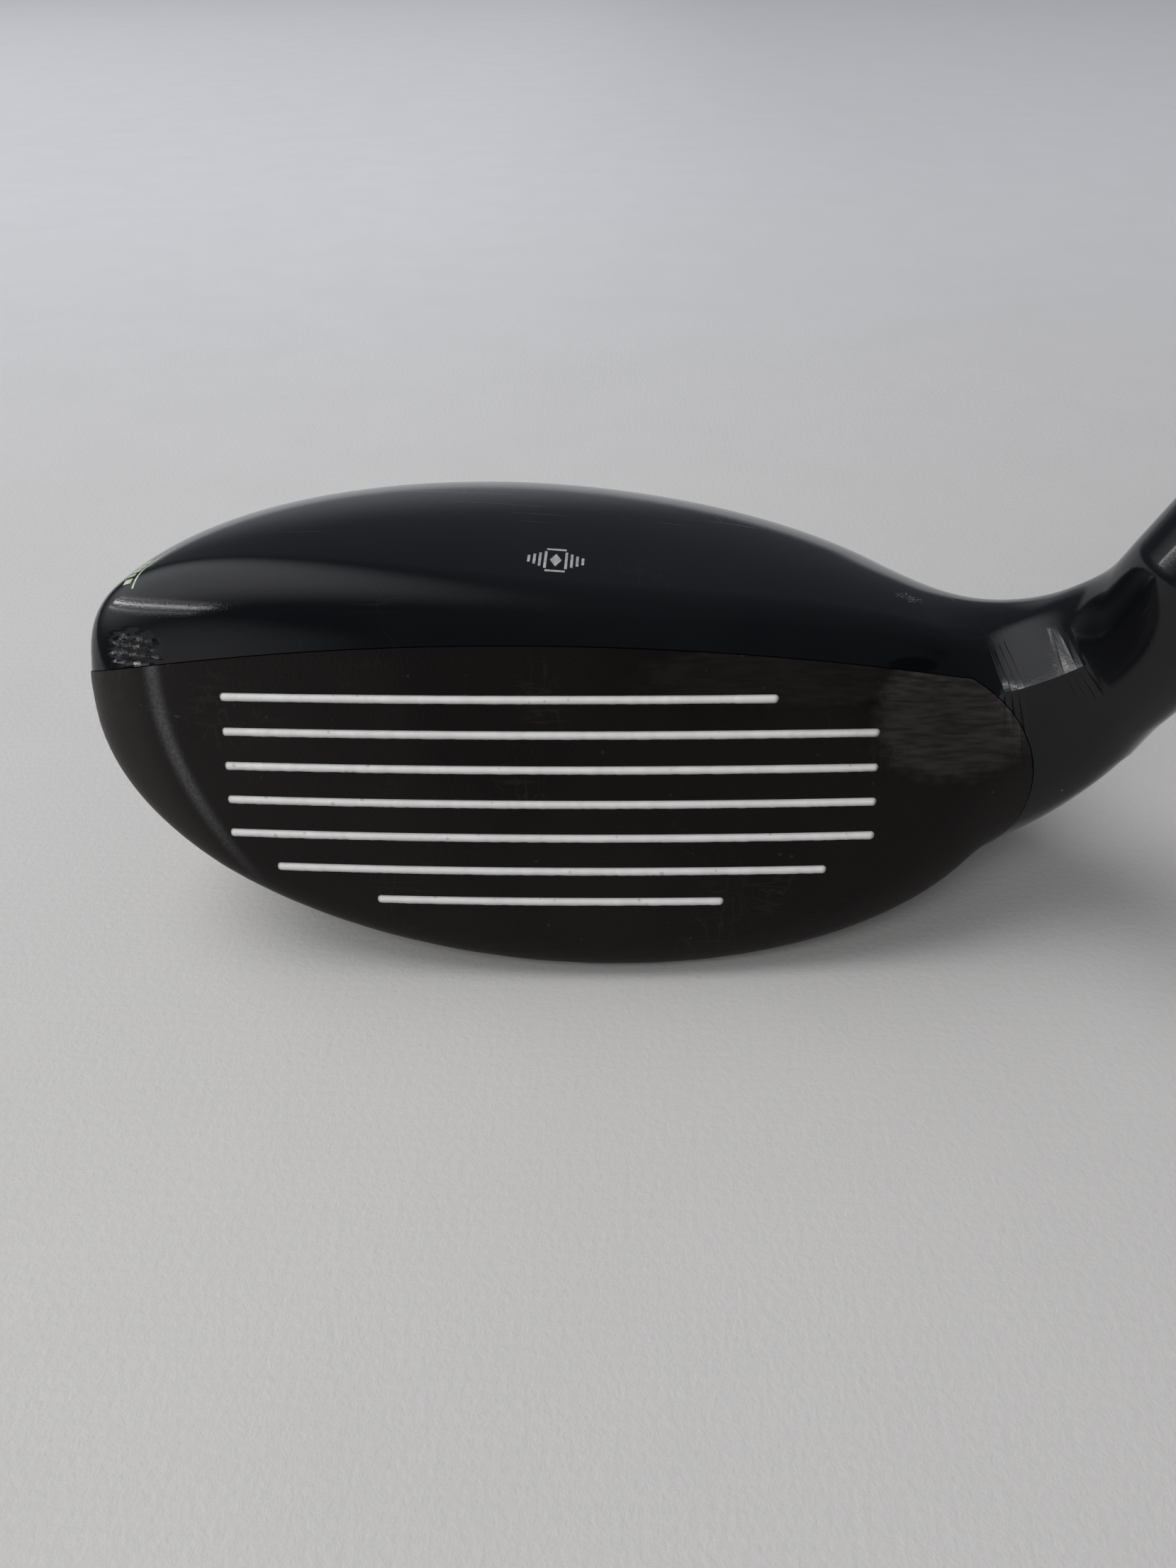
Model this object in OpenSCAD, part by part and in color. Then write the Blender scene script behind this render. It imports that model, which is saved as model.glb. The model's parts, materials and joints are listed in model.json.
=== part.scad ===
// Hybrid golf club, right handed, held at address.
// Millimetres. +Z up, +X from toe to heel, the face looks along -Y.
// The origin is the middle of the grip, where the hands hold the club.

/* [Club] */
// Length along the shaft axis, from the ground to the butt end
club_length = 1016; // [860:5:1120]
// Angle between the shaft axis and the ground, degrees
lie = 60; // [56:0.5:64]
// Place where the shaft axis meets the ground, along X from the face centre
axis_x = 34.1; // [30:0.1:40]
// Distance from the butt end to the middle of the hands
hold_from_butt = 120; // [90:5:150]

/* [Face] */
// Loft of the face, degrees
loft = 22; // [18:0.5:28]
// Radius of the face from toe to heel
bulge_r = 320; // [200:10:500]
// Radius of the face from top to bottom
roll_r = 300; // [200:10:500]
// Place of the face centre behind the shaft axis plane
face_y = -2.2; // [-6:0.1:2]
// Height of the face centre over the ground
face_z = 18; // [15:0.1:22]
// Depth that the face cup wraps around the head
cup_depth = 11; // [8:0.5:14]
// Height of the top line over the face centre
top_line = 15.7; // [13:0.1:17]
// Drop of the top line away from its middle, per square millimetre
top_line_drop = 0.0018; // [0:0.0001:0.003]
// Where the top line is highest, along X
top_line_x = -4; // [-12:0.5:6]
// Radius of the arc that ends the face at the heel
heel_arc_r = 12.3; // [9:0.1:15]
// Centre of that arc, along X
heel_arc_x = 35.8; // [32:0.1:40]
// Centre of that arc, up the face
heel_arc_s = 1.2; // [-2:0.1:4]

/* [Score lines] */
// Distance from one score line to the next, up the face
line_pitch = 3.5; // [3:0.1:4.2]
// Width of a score line
line_w = 0.9; // [0.6:0.05:1.1]
// Depth of a score line
line_depth = 0.35; // [0.2:0.01:0.5]
// How far the paint lies under the face
paint_sink = 0.04; // [0.02:0.01:0.1]
// Half length of a full score line
line_half = 32.7; // [28:0.1:36]
// Heel end of the short top line
top_line_end = 22.6; // [16:0.1:30]
// Half length of the second line from the bottom
low_line_half = 28; // [22:0.1:32]
// Half length of the bottom line
last_line_half = 17.7; // [12:0.1:22]

/* [Body] */
// Reach of the body from its centre to the toe
toe_reach = 47.1; // [42:0.1:54]
// Reach of the body from its centre to the heel
heel_reach = 48.6; // [44:0.1:56]
// Reach of the body from its centre to the back
back_reach = 43.4; // [36:0.1:52]
// Reach of the body's round to the front, which the face cuts
front_reach = 30; // [26:0.1:36]
// Rise of the crown over the body's widest line
crown_rise = 16.5; // [13:0.1:20]
// Drop of the sole under the body's widest line
sole_drop = 19; // [17:0.1:21]
// Height of the body's widest line over the ground
waist_z = 19.8; // [18:0.1:22]
// Wall of the crown
crown_wall = 0.9; // [0.8:0.1:1.6]
// Wall of the sole and the skirt
sole_wall = 1.5; // [1.2:0.1:3]
// Wall of the face
face_wall = 2; // [1.8:0.1:3]

/* [Hosel] */
// Outer radius of the hosel
hosel_r = 6.5; // [6:0.1:7.5]
// Bend radius of the neck's centre line
neck_bend_r = 22.3; // [18:0.1:28]
// Length of the straight part of the hosel
hosel_straight = 31; // [20:0.5:36]
// Depth of the bore for the shaft
bore_depth = 28; // [24:0.5:30]
// Clearance between the shaft tip and its bore
tip_gap = 0.05; // [0.02:0.01:0.1]

/* [Shaft and grip] */
// Radius of the shaft's tip
tip_r = 4.7; // [4.2:0.05:5]
// Radius of the shaft's butt
butt_r = 7.6; // [7:0.05:8]
// Length of the straight tip section
tip_straight = 110; // [60:5:160]
// Wall of the shaft
shaft_wall = 1.3; // [1:0.1:2]
// Length of the ferrule
ferrule_len = 20; // [12:1:30]
// Thickness of the trim ring under the ferrule
ring_t = 1; // [0.6:0.1:2]
// Length of the grip without its cap
grip_len = 262; // [240:1:280]
// Outer radius of the grip at its mouth
grip_mouth_r = 9.3; // [8.8:0.1:10]
// Outer radius of the grip at the butt end
grip_butt_r = 13; // [12:0.1:14]
// Thickness of the tape under the grip
tape_t = 0.25; // [0.15:0.05:0.4]
// Thickness of the grip's end cap
cap_t = 5; // [3:0.5:8]
// Radius of the vent hole in the cap
vent_r = 1.6; // [1.2:0.1:2.2]

/* [Sole weight] */
// Place of the weight along X
weight_x = 2; // [-6:0.5:8]
// Place of the weight along Y, at the height of the body's widest line
weight_y = 21; // [16:0.5:24]
// Lean of the weight's axis towards the back, degrees
weight_lean = 24; // [16:1:30]
// Radius of the weight screw's head
weight_head_r = 7; // [6:0.1:8]
// Height of the weight screw's head
weight_head_t = 2.8; // [2:0.1:4]
// Radius of the weight screw's shank
weight_shank_r = 4; // [3:0.1:4.5]
// Length of the weight screw's shank
weight_shank_len = 7; // [5:0.5:9]
// Radial clearance of the shank in its thread
weight_gap = 0.05; // [0.02:0.01:0.1]
// Thickness of the seal under the screw's head
seal_t = 0.8; // [0.5:0.1:1.2]
// Wall of the port around the screw
port_wall = 1.5; // [1:0.1:2.5]
// Depth of the port's mouth under the sole
port_sink = 0.6; // [0.4:0.1:1]

/* [Inside the head] */
// Radius of the bars that brace the crown against the sole
brace_r = 2.2; // [1.5:0.1:3]
// Half of the distance between the brace bars
brace_half = 13; // [8:0.5:18]
// Distance of the brace bars behind the face centre
brace_back = 9; // [7:0.5:14]
// Length of the tungsten block
slug_len = 28; // [18:1:36]
// Height of the tungsten block's flat top over the ground
slug_top = 7.5; // [6:0.5:10]

/* [Hidden] */
$fn = 96;
eps = 0.01;
// How far cutters run past what they cut
past = 20;

// Shape of the body
waist_x = -0.7;
waist_y = 7.8;
plan_power = 1.95;
crown_power = 2.42;
sole_power = 2.67;
rise_to_back = 0.044;
rise_to_heel = -0.081;
camber = 0.0018;
top_round = 4.3;
sole_round = 2.1;

// Shape of the neck: it leaves the body, bends up by the lie angle and ends at
// neck_foot, a distance from the ground along the shaft axis
neck_foot = 47.4;
bend_x = axis_x + neck_foot * cos(lie) - neck_bend_r * sin(lie);
bend_z = neck_foot * sin(lie) + neck_bend_r * cos(lie);
neck_swell = 1.87;
neck_back = 13.9;
neck_drop = 15.2;
neck_from = 27;
front_blend = 6.2;
back_blend = 12;

// Stations along the shaft axis, from the ground up
hosel_top = neck_foot + hosel_straight;
bore_end = hosel_top - bore_depth;
plug_len = 4;
plug_play = 0.5;
shaft_start = bore_end + plug_len + plug_play;
ferrule_start = hosel_top + ring_t;
cap_start = club_length - cap_t;
grip_start = cap_start - grip_len;
taper_start = shaft_start + tip_straight;
hold_at = club_length - hold_from_butt;

// Distance from the tungsten block to the bars and to the port
slug_gap = 1;

// Score lines from the top down: [distance up the face, toe end, heel end].
// The bottom line sits a little higher than the pitch would put it
last_line_lift = 0.25;
score_lines = [
    [3 * line_pitch, -line_half, top_line_end],
    for (i = [2:-1:-1]) [i * line_pitch, -line_half, line_half],
    [-2 * line_pitch, -low_line_half, low_line_half],
    [last_line_lift - 3 * line_pitch, -last_line_half, last_line_half]
];

// Grid of the head: rounds and steps of the section planes
around = 44;
toe_steps = 9;
body_steps = 20;
bend_steps = 9;
// The cavity ends where the neck begins
neck_section = toe_steps + body_steps;
last_section = neck_section + bend_steps + 1;
search_steps = 16;
search_reach = 70;
toe_hub = [-26, 12, 21];
hub_y = 7;
hub_drop = 6;
hub_sag = 2;
neck_hub = [bend_x, hub_y, bend_z - neck_bend_r - hub_drop];

function smoothstep(v, a, b) = let(t = min(max((v - a) / (b - a), 0), 1)) t * t * (3 - 2 * t);
// Greater of a and b, with the corner rounded over the width k
function soft_max(a, b, k) =
    let(h = min(max(0.5 + 0.5 * (a - b) / k, 0), 1))
    b * (1 - h) + a * h + k * h * (1 - h);
function soft_min(a, b, k) = -soft_max(-a, -b, k);

// Signed distance to the face, positive in front of it
function over_face(p) =
    let(
        s = (p.y - face_y) * sin(loft) + (p.z - face_z) * cos(loft),
        n = -(p.y - face_y) * cos(loft) + (p.z - face_z) * sin(loft)
    )
    n + p.x * p.x / (2 * bulge_r) + s * s / (2 * roll_r);

// Signed distance to the round body, positive outside it
function over_body(p) =
    let(
        x = p.x - waist_x,
        y = p.y - waist_y,
        z = p.z - waist_z - rise_to_back * y - rise_to_heel * x - camber * x * x,
        reach_x = x < 0 ? toe_reach : heel_reach,
        reach_y = y < 0 ? front_reach : back_reach,
        reach_z = z < 0 ? sole_drop : crown_rise,
        power = z < 0 ? sole_power : crown_power,
        flat = pow(abs(x) / reach_x, plan_power) + pow(abs(y) / reach_y, plan_power)
    )
    (pow(pow(flat, power / plan_power) + pow(abs(z) / reach_z, power), 1 / power) - 1) * reach_z;

// Signed distance to the neck, which bends from the body up to the hosel
function over_neck(p) =
    let(
        dx = p.x - bend_x,
        dz = p.z - bend_z,
        turn = atan2(dx, -dz),
        past = dx * cos(lie) + dz * sin(lie) > 0 && turn > lie / 2,
        angle = past ? lie : dx < 0 ? 0 : min(turn, lie),
        r = dx < 0 ? -dz : angle >= lie ? dx * sin(lie) - dz * cos(lie) : norm([dx, dz]),
        u = angle / lie,
        fade = pow(1 - u, 2) * (1 + 2 * u),
        d = norm([r - neck_bend_r - neck_drop * fade, p.y - neck_back * fade])
            - hosel_r - neck_swell * fade
    )
    soft_max(d, (neck_from - p.x) * 0.6, 3);

// Signed distance to the whole head, negative inside it
function over_skin(p) =
    let(
        round_k = sole_round + (top_round - sole_round) * min(max((p.z - 10) / 14, 0), 1),
        blend_k = front_blend + (back_blend - front_blend) * smoothstep(p.y, -4, 10)
    )
    soft_min(soft_max(over_body(p), over_face(p), round_k), over_neck(p), blend_k);

// Outward direction of the skin at a point
function skin_normal(p) =
    let(
        h = 0.05,
        f = over_skin(p),
        g = [over_skin(p + [h, 0, 0]) - f, over_skin(p + [0, h, 0]) - f, over_skin(p + [0, 0, h]) - f]
    )
    g / norm(g);

// Distance from o along d to the skin
function reach_skin(o, d, near = 0, far = search_reach, n = search_steps) =
    let(mid = (near + far) / 2)
    n == 0 ? mid :
    over_skin(o + d * mid) < 0 ? reach_skin(o, d, mid, far, n - 1) : reach_skin(o, d, near, mid, n - 1);

// Start of the rays in section i, and the section's upward direction.
// The sections fan out at the toe, run along the body and follow the neck
function section_hub(i) =
    let(t = (i - toe_steps) / body_steps)
    i <= toe_steps ? toe_hub :
    i <= neck_section ? toe_hub + (neck_hub - toe_hub) * t - [0, 0, hub_sag * sin(180 * t)] :
    i <= neck_section + bend_steps ? bend_hub(pow(1 - (i - neck_section) / bend_steps, 2), section_up(i)) :
    section_hub(i - 1) + hosel_straight * [cos(lie), 0, sin(lie)];
// Hub over the bend, which moves onto the neck's centre line as e falls from 1 to 0
function bend_hub(e, up) = [bend_x, hub_y * e, bend_z] - up * (neck_bend_r + hub_drop * e);
function section_up(i) =
    let(turn = lie * min(max((i - neck_section) / bend_steps, 0), 1))
    [-sin(turn), 0, cos(turn)];
function ray(i, j) =
    let(
        a = 360 * j / around,
        lean = i < toe_steps ? 90 * (1 - i / toe_steps) : 0,
        flat = cos(a) * [0, 1, 0] + sin(a) * section_up(i)
    )
    cos(lean) * flat - sin(lean) * [1, 0, 0];

function skin_point(i, j) = let(o = section_hub(i), d = ray(i, j)) o + d * reach_skin(o, d);

// Wall under a point of the skin: thick at the face, thin at the crown
function wall_at(n) =
    let(w = sole_wall + (crown_wall - sole_wall) * smoothstep(n.z, 0.1, 0.5))
    w + (face_wall - w) * smoothstep(-n.y, 0.5, 0.8);
// Point of the cavity under a point of the skin, on the same ray
function cavity_point(i, j) =
    let(
        o = section_hub(i),
        d = ray(i, j),
        t = reach_skin(o, d),
        n = skin_normal(o + d * t)
    )
    o + d * (t - wall_at(n) / max(n * d, 0.35));

// Closed solid through rings of points, with its pole at the toe
module ring_solid(pole, rings) {
    count = len(rings);
    points = [pole, for (r = rings) each r];
    faces = [
        for (j = [0:around - 1]) [0, 1 + j, 1 + (j + 1) % around],
        for (i = [0:count - 2], j = [0:around - 1])
            let(a = 1 + i * around, b = a + around, k = (j + 1) % around)
            each [[a + j, b + j, b + k], [a + j, b + k, a + k]],
        [for (j = [around - 1:-1:0]) 1 + (count - 1) * around + j]
    ];
    polyhedron(points, faces);
}

// The whole head as one solid, without its cavity
module head_outside()
    ring_solid(skin_point(0, 0), [
        for (i = [1:last_section]) [for (j = [0:around - 1]) skin_point(i, j)]
    ]);

// The cavity of the head
module head_inside()
    ring_solid(cavity_point(0, 0), [
        for (i = [1:neck_section]) [for (j = [0:around - 1]) cavity_point(i, j)]
    ]);

// Places children in the part's frame
module part_frame()
    translate([-axis_x - hold_at * cos(lie), 0, -hold_at * sin(lie)])
    children();

// Places children on the shaft axis, a distance up from the ground
module on_axis(distance)
    part_frame()
    translate([axis_x, 0, 0])
    rotate([0, 90 - lie, 0])
    translate([0, 0, distance])
    children();

// Places children in the face's own frame: x to the heel, y up the face, z outwards
module on_face()
    translate([0, face_y, face_z])
    rotate([90 - loft, 0, 0])
    children();

// Outline of the face cup, seen from in front
arc_from = 62;
arc_to = -46;
past_toe = -62;
past_sole = -40;
function heel_arc(a) = [heel_arc_x, heel_arc_s] + heel_arc_r * [cos(a), sin(a)];
module face_outline()
    polygon([
        for (x = [past_toe:4:heel_arc(arc_from).x]) [x, top_line - top_line_drop * pow(x - top_line_x, 2)],
        for (a = [arc_from:-9:arc_to]) heel_arc(a),
        [heel_arc(arc_to).x, past_sole],
        [past_toe, past_sole]
    ]);

// Space that the face cup takes
module face_zone()
    on_face()
    translate([0, 0, -cup_depth])
    linear_extrude(cup_depth + past) face_outline();

// Space that the crown takes, over the skirt seam and short of the neck
module crown_zone() {
    seam_z = waist_z + 2;
    seam_x = neck_from + 3;
    from = [-toe_reach, -front_reach, 0] - past * [1, 1, 0] + [0, 0, seam_z];
    translate(from) cube([seam_x, back_reach + past, crown_rise + past + seam_z] - from);
}

// Ribbon that follows the face, from the score lines' depth up to a height of top
straight_steps = 14;
module score_ribbon(line, top) {
    s = line[0];
    half_w = line_w / 2;
    straight = line[2] - line[1] - line_w;
    stations = [
        for (a = [80:-20:20]) line[1] + half_w * (1 - sin(a)),
        for (t = [0:straight_steps]) line[1] + half_w + straight * t / straight_steps,
        for (a = [20:20:80]) line[2] - half_w * (1 - sin(a))
    ];
    widths = [
        for (a = [80:-20:20]) half_w * cos(a),
        for (t = [0:straight_steps]) half_w,
        for (a = [20:20:80]) half_w * cos(a)
    ];
    count = len(stations);
    points = [
        for (i = [0:count - 1])
            let(
                x = stations[i],
                w = widths[i],
                n = -x * x / (2 * bulge_r) - s * s / (2 * roll_r)
            )
            each [
                [x, s - w, n - line_depth],
                [x, s + w, n - line_depth],
                [x, s + w, n + top],
                [x, s - w, n + top]
            ]
    ];
    faces = [
        [0, 1, 2, 3],
        for (i = [0:count - 2], j = [0:3])
            let(a = 4 * i, k = (j + 1) % 4)
            [a + j, a + 4 + j, a + 4 + k, a + k],
        [for (j = [3:-1:0]) 4 * (count - 1) + j]
    ];
    on_face() polyhedron(points, faces);
}

// Centre of the weight's mouth on the sole, and the way that the screw leaves
weight_out = [0, sin(weight_lean), -cos(weight_lean)];
weight_core = [weight_x, weight_y, waist_z];
head_gap = 0.1;
port_r = weight_head_r + head_gap + port_wall;
port_floor = 1.5;
port_len = port_sink + weight_head_t + seal_t + weight_shank_len + port_floor;
port_joint = 0.05;

// Places children at the weight port: z out of the sole, zero at the port's mouth
module on_weight() {
    mouth = weight_core + weight_out * (reach_skin(weight_core, weight_out) - port_sink);
    translate(mouth)
    rotate([180 + weight_lean, 0, 0])
    children();
}

module port_hole()
    on_weight()
    translate([0, 0, -port_len])
    cylinder(r = port_r + eps, h = port_len + past, $fn = 48);

module shaft_hole()
    translate([axis_x, 0, 0])
    rotate([0, 90 - lie, 0])
    translate([0, 0, bore_end])
    cylinder(r = tip_r + tip_gap, h = bore_depth + past);

module head_body()
    color([0.03, 0.03, 0.035])
    part_frame()
    resize([0, 0, 0])
    difference() {
        head_outside();
        head_inside();
        face_zone();
        crown_zone();
        port_hole();
        shaft_hole();
    }

module crown()
    color([0.02, 0.02, 0.025])
    part_frame()
    resize([0, 0, 0])
    difference() {
        intersection() {
            head_outside();
            crown_zone();
        }
        head_inside();
        face_zone();
    }

module face_plate()
    color([0.09, 0.08, 0.07])
    part_frame()
    resize([0, 0, 0])
    difference() {
        intersection() {
            head_outside();
            face_zone();
        }
        head_inside();
        for (line = score_lines) score_ribbon(line, 1);
    }

module score_line(i)
    color("white")
    part_frame()
    score_ribbon(score_lines[i], -paint_sink);

// Bar between the sole and the crown, behind the face
module brace_bar(x)
    color("silver")
    part_frame()
    resize([0, 0, 0])
    intersection() {
        head_inside();
        translate([x, face_y + brace_back, 0]) cylinder(r = brace_r, h = face_z + top_line + past, $fn = 24);
    }

// Block on the floor of the cavity, between the brace bars and the weight port
module tungsten_block() {
    front = face_y + brace_back + brace_r + slug_gap;
    back = weight_core.y + (waist_z - slug_top) * tan(weight_lean) - port_r / cos(weight_lean) - slug_gap;
    color("dimgray")
    part_frame()
    resize([0, 0, 0])
    intersection() {
        head_inside();
        translate([-slug_len / 2, front, 0]) cube([slug_len, back - front, slug_top]);
    }
}

// Lengths inside the port, from its mouth inwards. The seal lies between the
// screw's head and its seat, with a little play on both sides
seal_play = 0.05;
seat_depth = weight_head_t + seal_t + 2 * seal_play;
shank_play = 0.3;
seal_inset = 0.6;
socket_r = 2.8;
socket_depth = 2;

module weight_port()
    color("gray")
    part_frame()
    on_weight()
    difference() {
        translate([0, 0, port_sink - port_len]) cylinder(r = port_r - port_joint, h = port_len - port_sink);
        translate([0, 0, -seat_depth]) cylinder(r = weight_head_r + head_gap, h = seat_depth + past);
        translate([0, 0, -seat_depth - weight_shank_len])
            cylinder(r = weight_shank_r + weight_gap, h = weight_shank_len + past);
    }

module weight_seal()
    color("black")
    part_frame()
    on_weight()
    translate([0, 0, -weight_head_t - seal_t - seal_play])
    difference() {
        cylinder(r = weight_head_r - seal_inset, h = seal_t);
        translate([0, 0, -1]) cylinder(r = weight_shank_r + weight_gap, h = seal_t + 2);
    }

module weight_screw()
    color("silver")
    part_frame()
    on_weight()
    difference() {
        union() {
            translate([0, 0, -weight_head_t]) cylinder(r = weight_head_r, h = weight_head_t);
            translate([0, 0, shank_play - seat_depth - weight_shank_len])
                cylinder(r = weight_shank_r, h = seat_depth + weight_shank_len - shank_play - eps);
        }
        translate([0, 0, -socket_depth]) cylinder(r = socket_r, h = socket_depth + 1, $fn = 6);
    }

module tip_plug()
    color("tan")
    on_axis(bore_end)
    cylinder(r = tip_r, h = plug_len);

// Radius of the shaft at a distance along the axis
function shaft_r(d) =
    tip_r + (butt_r - tip_r) * min(max((d - taper_start) / (cap_start - taper_start), 0), 1);

module shaft()
    color([0.05, 0.05, 0.06])
    on_axis(0)
    rotate_extrude()
    polygon([
        [shaft_r(shaft_start) - shaft_wall, shaft_start],
        [shaft_r(shaft_start), shaft_start],
        [shaft_r(taper_start), taper_start],
        [shaft_r(cap_start), cap_start],
        [shaft_r(cap_start) - shaft_wall, cap_start],
        [shaft_r(taper_start) - shaft_wall, taper_start]
    ]);

module ferrule_ring()
    color("silver")
    on_axis(hosel_top)
    difference() {
        cylinder(r = hosel_r, h = ring_t);
        translate([0, 0, -1]) cylinder(r = tip_r + tip_gap, h = ring_t + 2);
    }

module ferrule() {
    collar = 0.25 * ferrule_len;
    lip = 0.5;
    color([0.02, 0.02, 0.02])
    on_axis(ferrule_start)
    difference() {
        union() {
            cylinder(r = hosel_r, h = collar);
            translate([0, 0, collar]) cylinder(r1 = hosel_r, r2 = tip_r + lip, h = ferrule_len - collar);
        }
        translate([0, 0, -1]) cylinder(r = tip_r + tip_gap, h = ferrule_len + 2);
    }
}

module grip_tape()
    color("tan")
    on_axis(0)
    rotate_extrude()
    polygon([
        [shaft_r(grip_start), grip_start],
        [shaft_r(grip_start) + tape_t, grip_start],
        [shaft_r(cap_start) + tape_t, cap_start],
        [shaft_r(cap_start), cap_start]
    ]);

// The grip flares to a low rim at the butt end
rim_h = 0.5;
flare_from = cap_start - 12;
flare_to = cap_start - 4;
mouth_bevel = [0.6, 1.5];

module grip()
    color([0.08, 0.08, 0.08])
    on_axis(0)
    rotate_extrude()
    polygon([
        [shaft_r(grip_start) + tape_t, grip_start],
        [grip_mouth_r - mouth_bevel[0], grip_start],
        [grip_mouth_r, grip_start + mouth_bevel[1]],
        [grip_butt_r, flare_from],
        [grip_butt_r + rim_h, flare_to],
        [grip_butt_r + rim_h, cap_start],
        [shaft_r(cap_start) + tape_t, cap_start]
    ]);

module grip_cap() {
    shoulder = 0.6 * cap_t;
    bevel = 2.5;
    color([0.08, 0.08, 0.08])
    on_axis(0)
    rotate_extrude()
    polygon([
        [vent_r, cap_start],
        [grip_butt_r + rim_h, cap_start],
        [grip_butt_r, cap_start + shoulder],
        [grip_butt_r - bevel, cap_start + cap_t],
        [vent_r, cap_start + cap_t]
    ]);
}

head_body();
crown();
face_plate();
score_line(0);  // score_line_1
score_line(1);  // score_line_2
score_line(2);  // score_line_3
score_line(3);  // score_line_4
score_line(4);  // score_line_5
score_line(5);  // score_line_6
score_line(6);  // score_line_7
brace_bar(-brace_half);  // brace_bar_toe
brace_bar(brace_half);  // brace_bar_heel
tungsten_block();
weight_port();
weight_seal();
weight_screw();
tip_plug();
ferrule_ring();
ferrule();
shaft();
grip_tape();
grip();
grip_cap();
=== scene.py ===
# %% [markdown]
# # A hybrid golf club
#
# This lesson builds the looks of a hybrid golf club around its finished CAD model. The head is a
# small hollow body with a smooth neck, a painted crown, a machined face with white score lines and
# a weight screw in its sole. A shaft and a rubber grip complete the club.
#
# The CAD model is loaded first. It never moves: everything that follows is placed by its boxes and
# by its record, so a piece always lands where the real one sits.

# %% Load the frame
import json
import math

import bpy
import numpy as np
from mathutils import Matrix, Vector


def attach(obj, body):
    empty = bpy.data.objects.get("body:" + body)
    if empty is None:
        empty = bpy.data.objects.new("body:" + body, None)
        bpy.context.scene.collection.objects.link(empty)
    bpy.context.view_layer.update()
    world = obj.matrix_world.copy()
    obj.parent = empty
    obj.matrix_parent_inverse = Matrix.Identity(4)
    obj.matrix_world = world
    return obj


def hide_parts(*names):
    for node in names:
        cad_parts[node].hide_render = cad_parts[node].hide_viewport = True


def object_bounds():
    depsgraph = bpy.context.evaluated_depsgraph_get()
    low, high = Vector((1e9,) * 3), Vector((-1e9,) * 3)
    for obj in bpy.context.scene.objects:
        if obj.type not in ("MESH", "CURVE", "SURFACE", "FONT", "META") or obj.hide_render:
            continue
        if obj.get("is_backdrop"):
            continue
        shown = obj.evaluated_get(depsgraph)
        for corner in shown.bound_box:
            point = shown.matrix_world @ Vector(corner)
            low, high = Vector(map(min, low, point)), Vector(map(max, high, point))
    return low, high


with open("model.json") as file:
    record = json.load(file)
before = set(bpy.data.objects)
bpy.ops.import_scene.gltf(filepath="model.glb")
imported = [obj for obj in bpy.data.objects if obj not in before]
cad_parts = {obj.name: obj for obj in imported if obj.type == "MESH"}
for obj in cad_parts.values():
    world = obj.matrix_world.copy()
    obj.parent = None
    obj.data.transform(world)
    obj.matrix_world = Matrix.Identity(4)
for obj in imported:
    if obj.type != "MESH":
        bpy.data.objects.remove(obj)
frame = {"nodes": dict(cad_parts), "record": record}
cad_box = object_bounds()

nodes = frame["nodes"]
print("the frame has", len(nodes), "nodes, from", tuple(cad_box[0]), "to", tuple(cad_box[1]))

# %% [markdown]
# ## Two useful places
#
# A club maker measures a head from the ground under the middle of its face. The record names a
# mount where the sole rests, 8 mm behind that point, so the head's own origin follows from it.
# The shaft leaves the ground at the lie angle, and every round part of the club sits on that axis.

# %% Places and directions
MM = 0.001
rest_mount = next(m for m in frame["record"]["mounts"] if m["name"] == "sole_rest")
rest_behind = 0.008
ground = Vector(rest_mount["pos_m"]) - Vector((0, rest_behind, 0))
lie = math.radians(60)
axis_x = 34.1
shaft_dir = Vector((math.cos(lie), 0, math.sin(lie)))

head_to_row = Matrix.Translation(ground) @ Matrix.Scale(MM, 4)
axis_to_row = (
    head_to_row @ Matrix.Translation((axis_x, 0, 0)) @ Matrix.Rotation(math.pi / 2 - lie, 4, "Y")
)
print("head origin", tuple(round(c, 4) for c in ground))

# %% [markdown]
# ## The shape of the head
#
# The head has no straight edge anywhere, so it is described by one function: the distance to its
# skin, negative inside. A round body and a slightly bulged face are joined with a rounded corner,
# and a tube that bends from the body up to the hosel is blended into them. Because the function
# also tells which way the skin faces at each point, the shading can be exact even where the mesh
# is cut. Sizes are in millimetres.

# %% Sizes of the head
loft = math.radians(22)
bulge_r, roll_r = 320.0, 300.0
face_y, face_z = -2.2, 18.0
waist = np.array([-0.7, 7.8, 19.8])
toe_reach, heel_reach, back_reach, front_reach = 47.1, 48.6, 43.4, 30.0
crown_rise, sole_drop = 16.5, 19.0
plan_power, crown_power, sole_power = 1.95, 2.42, 2.67
rise_to_back, rise_to_heel, camber = 0.044, -0.081, 0.0018
top_round, sole_round = 4.3, 2.1
hosel_r, neck_bend_r, neck_foot, hosel_straight = 6.5, 22.3, 47.4, 31.0
bend_x = axis_x + neck_foot * math.cos(lie) - neck_bend_r * math.sin(lie)
bend_z = neck_foot * math.sin(lie) + neck_bend_r * math.cos(lie)
neck_swell, neck_back, neck_drop = 1.87, 13.9, 15.2
neck_from, neck_from_slope, neck_from_round = 27.0, 0.6, 3.0
front_blend, back_blend, blend_from, blend_to = 6.2, 12.0, -4.0, 10.0
corner_from, corner_over = 10.0, 14.0


# %% The skin as a function
def smoothstep(value, low, high):
    t = np.clip((value - low) / (high - low), 0, 1)
    return t * t * (3 - 2 * t)


def soft_max(a, b, width):
    h = np.clip(0.5 + 0.5 * (a - b) / width, 0, 1)
    return b * (1 - h) + a * h + width * h * (1 - h)


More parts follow.
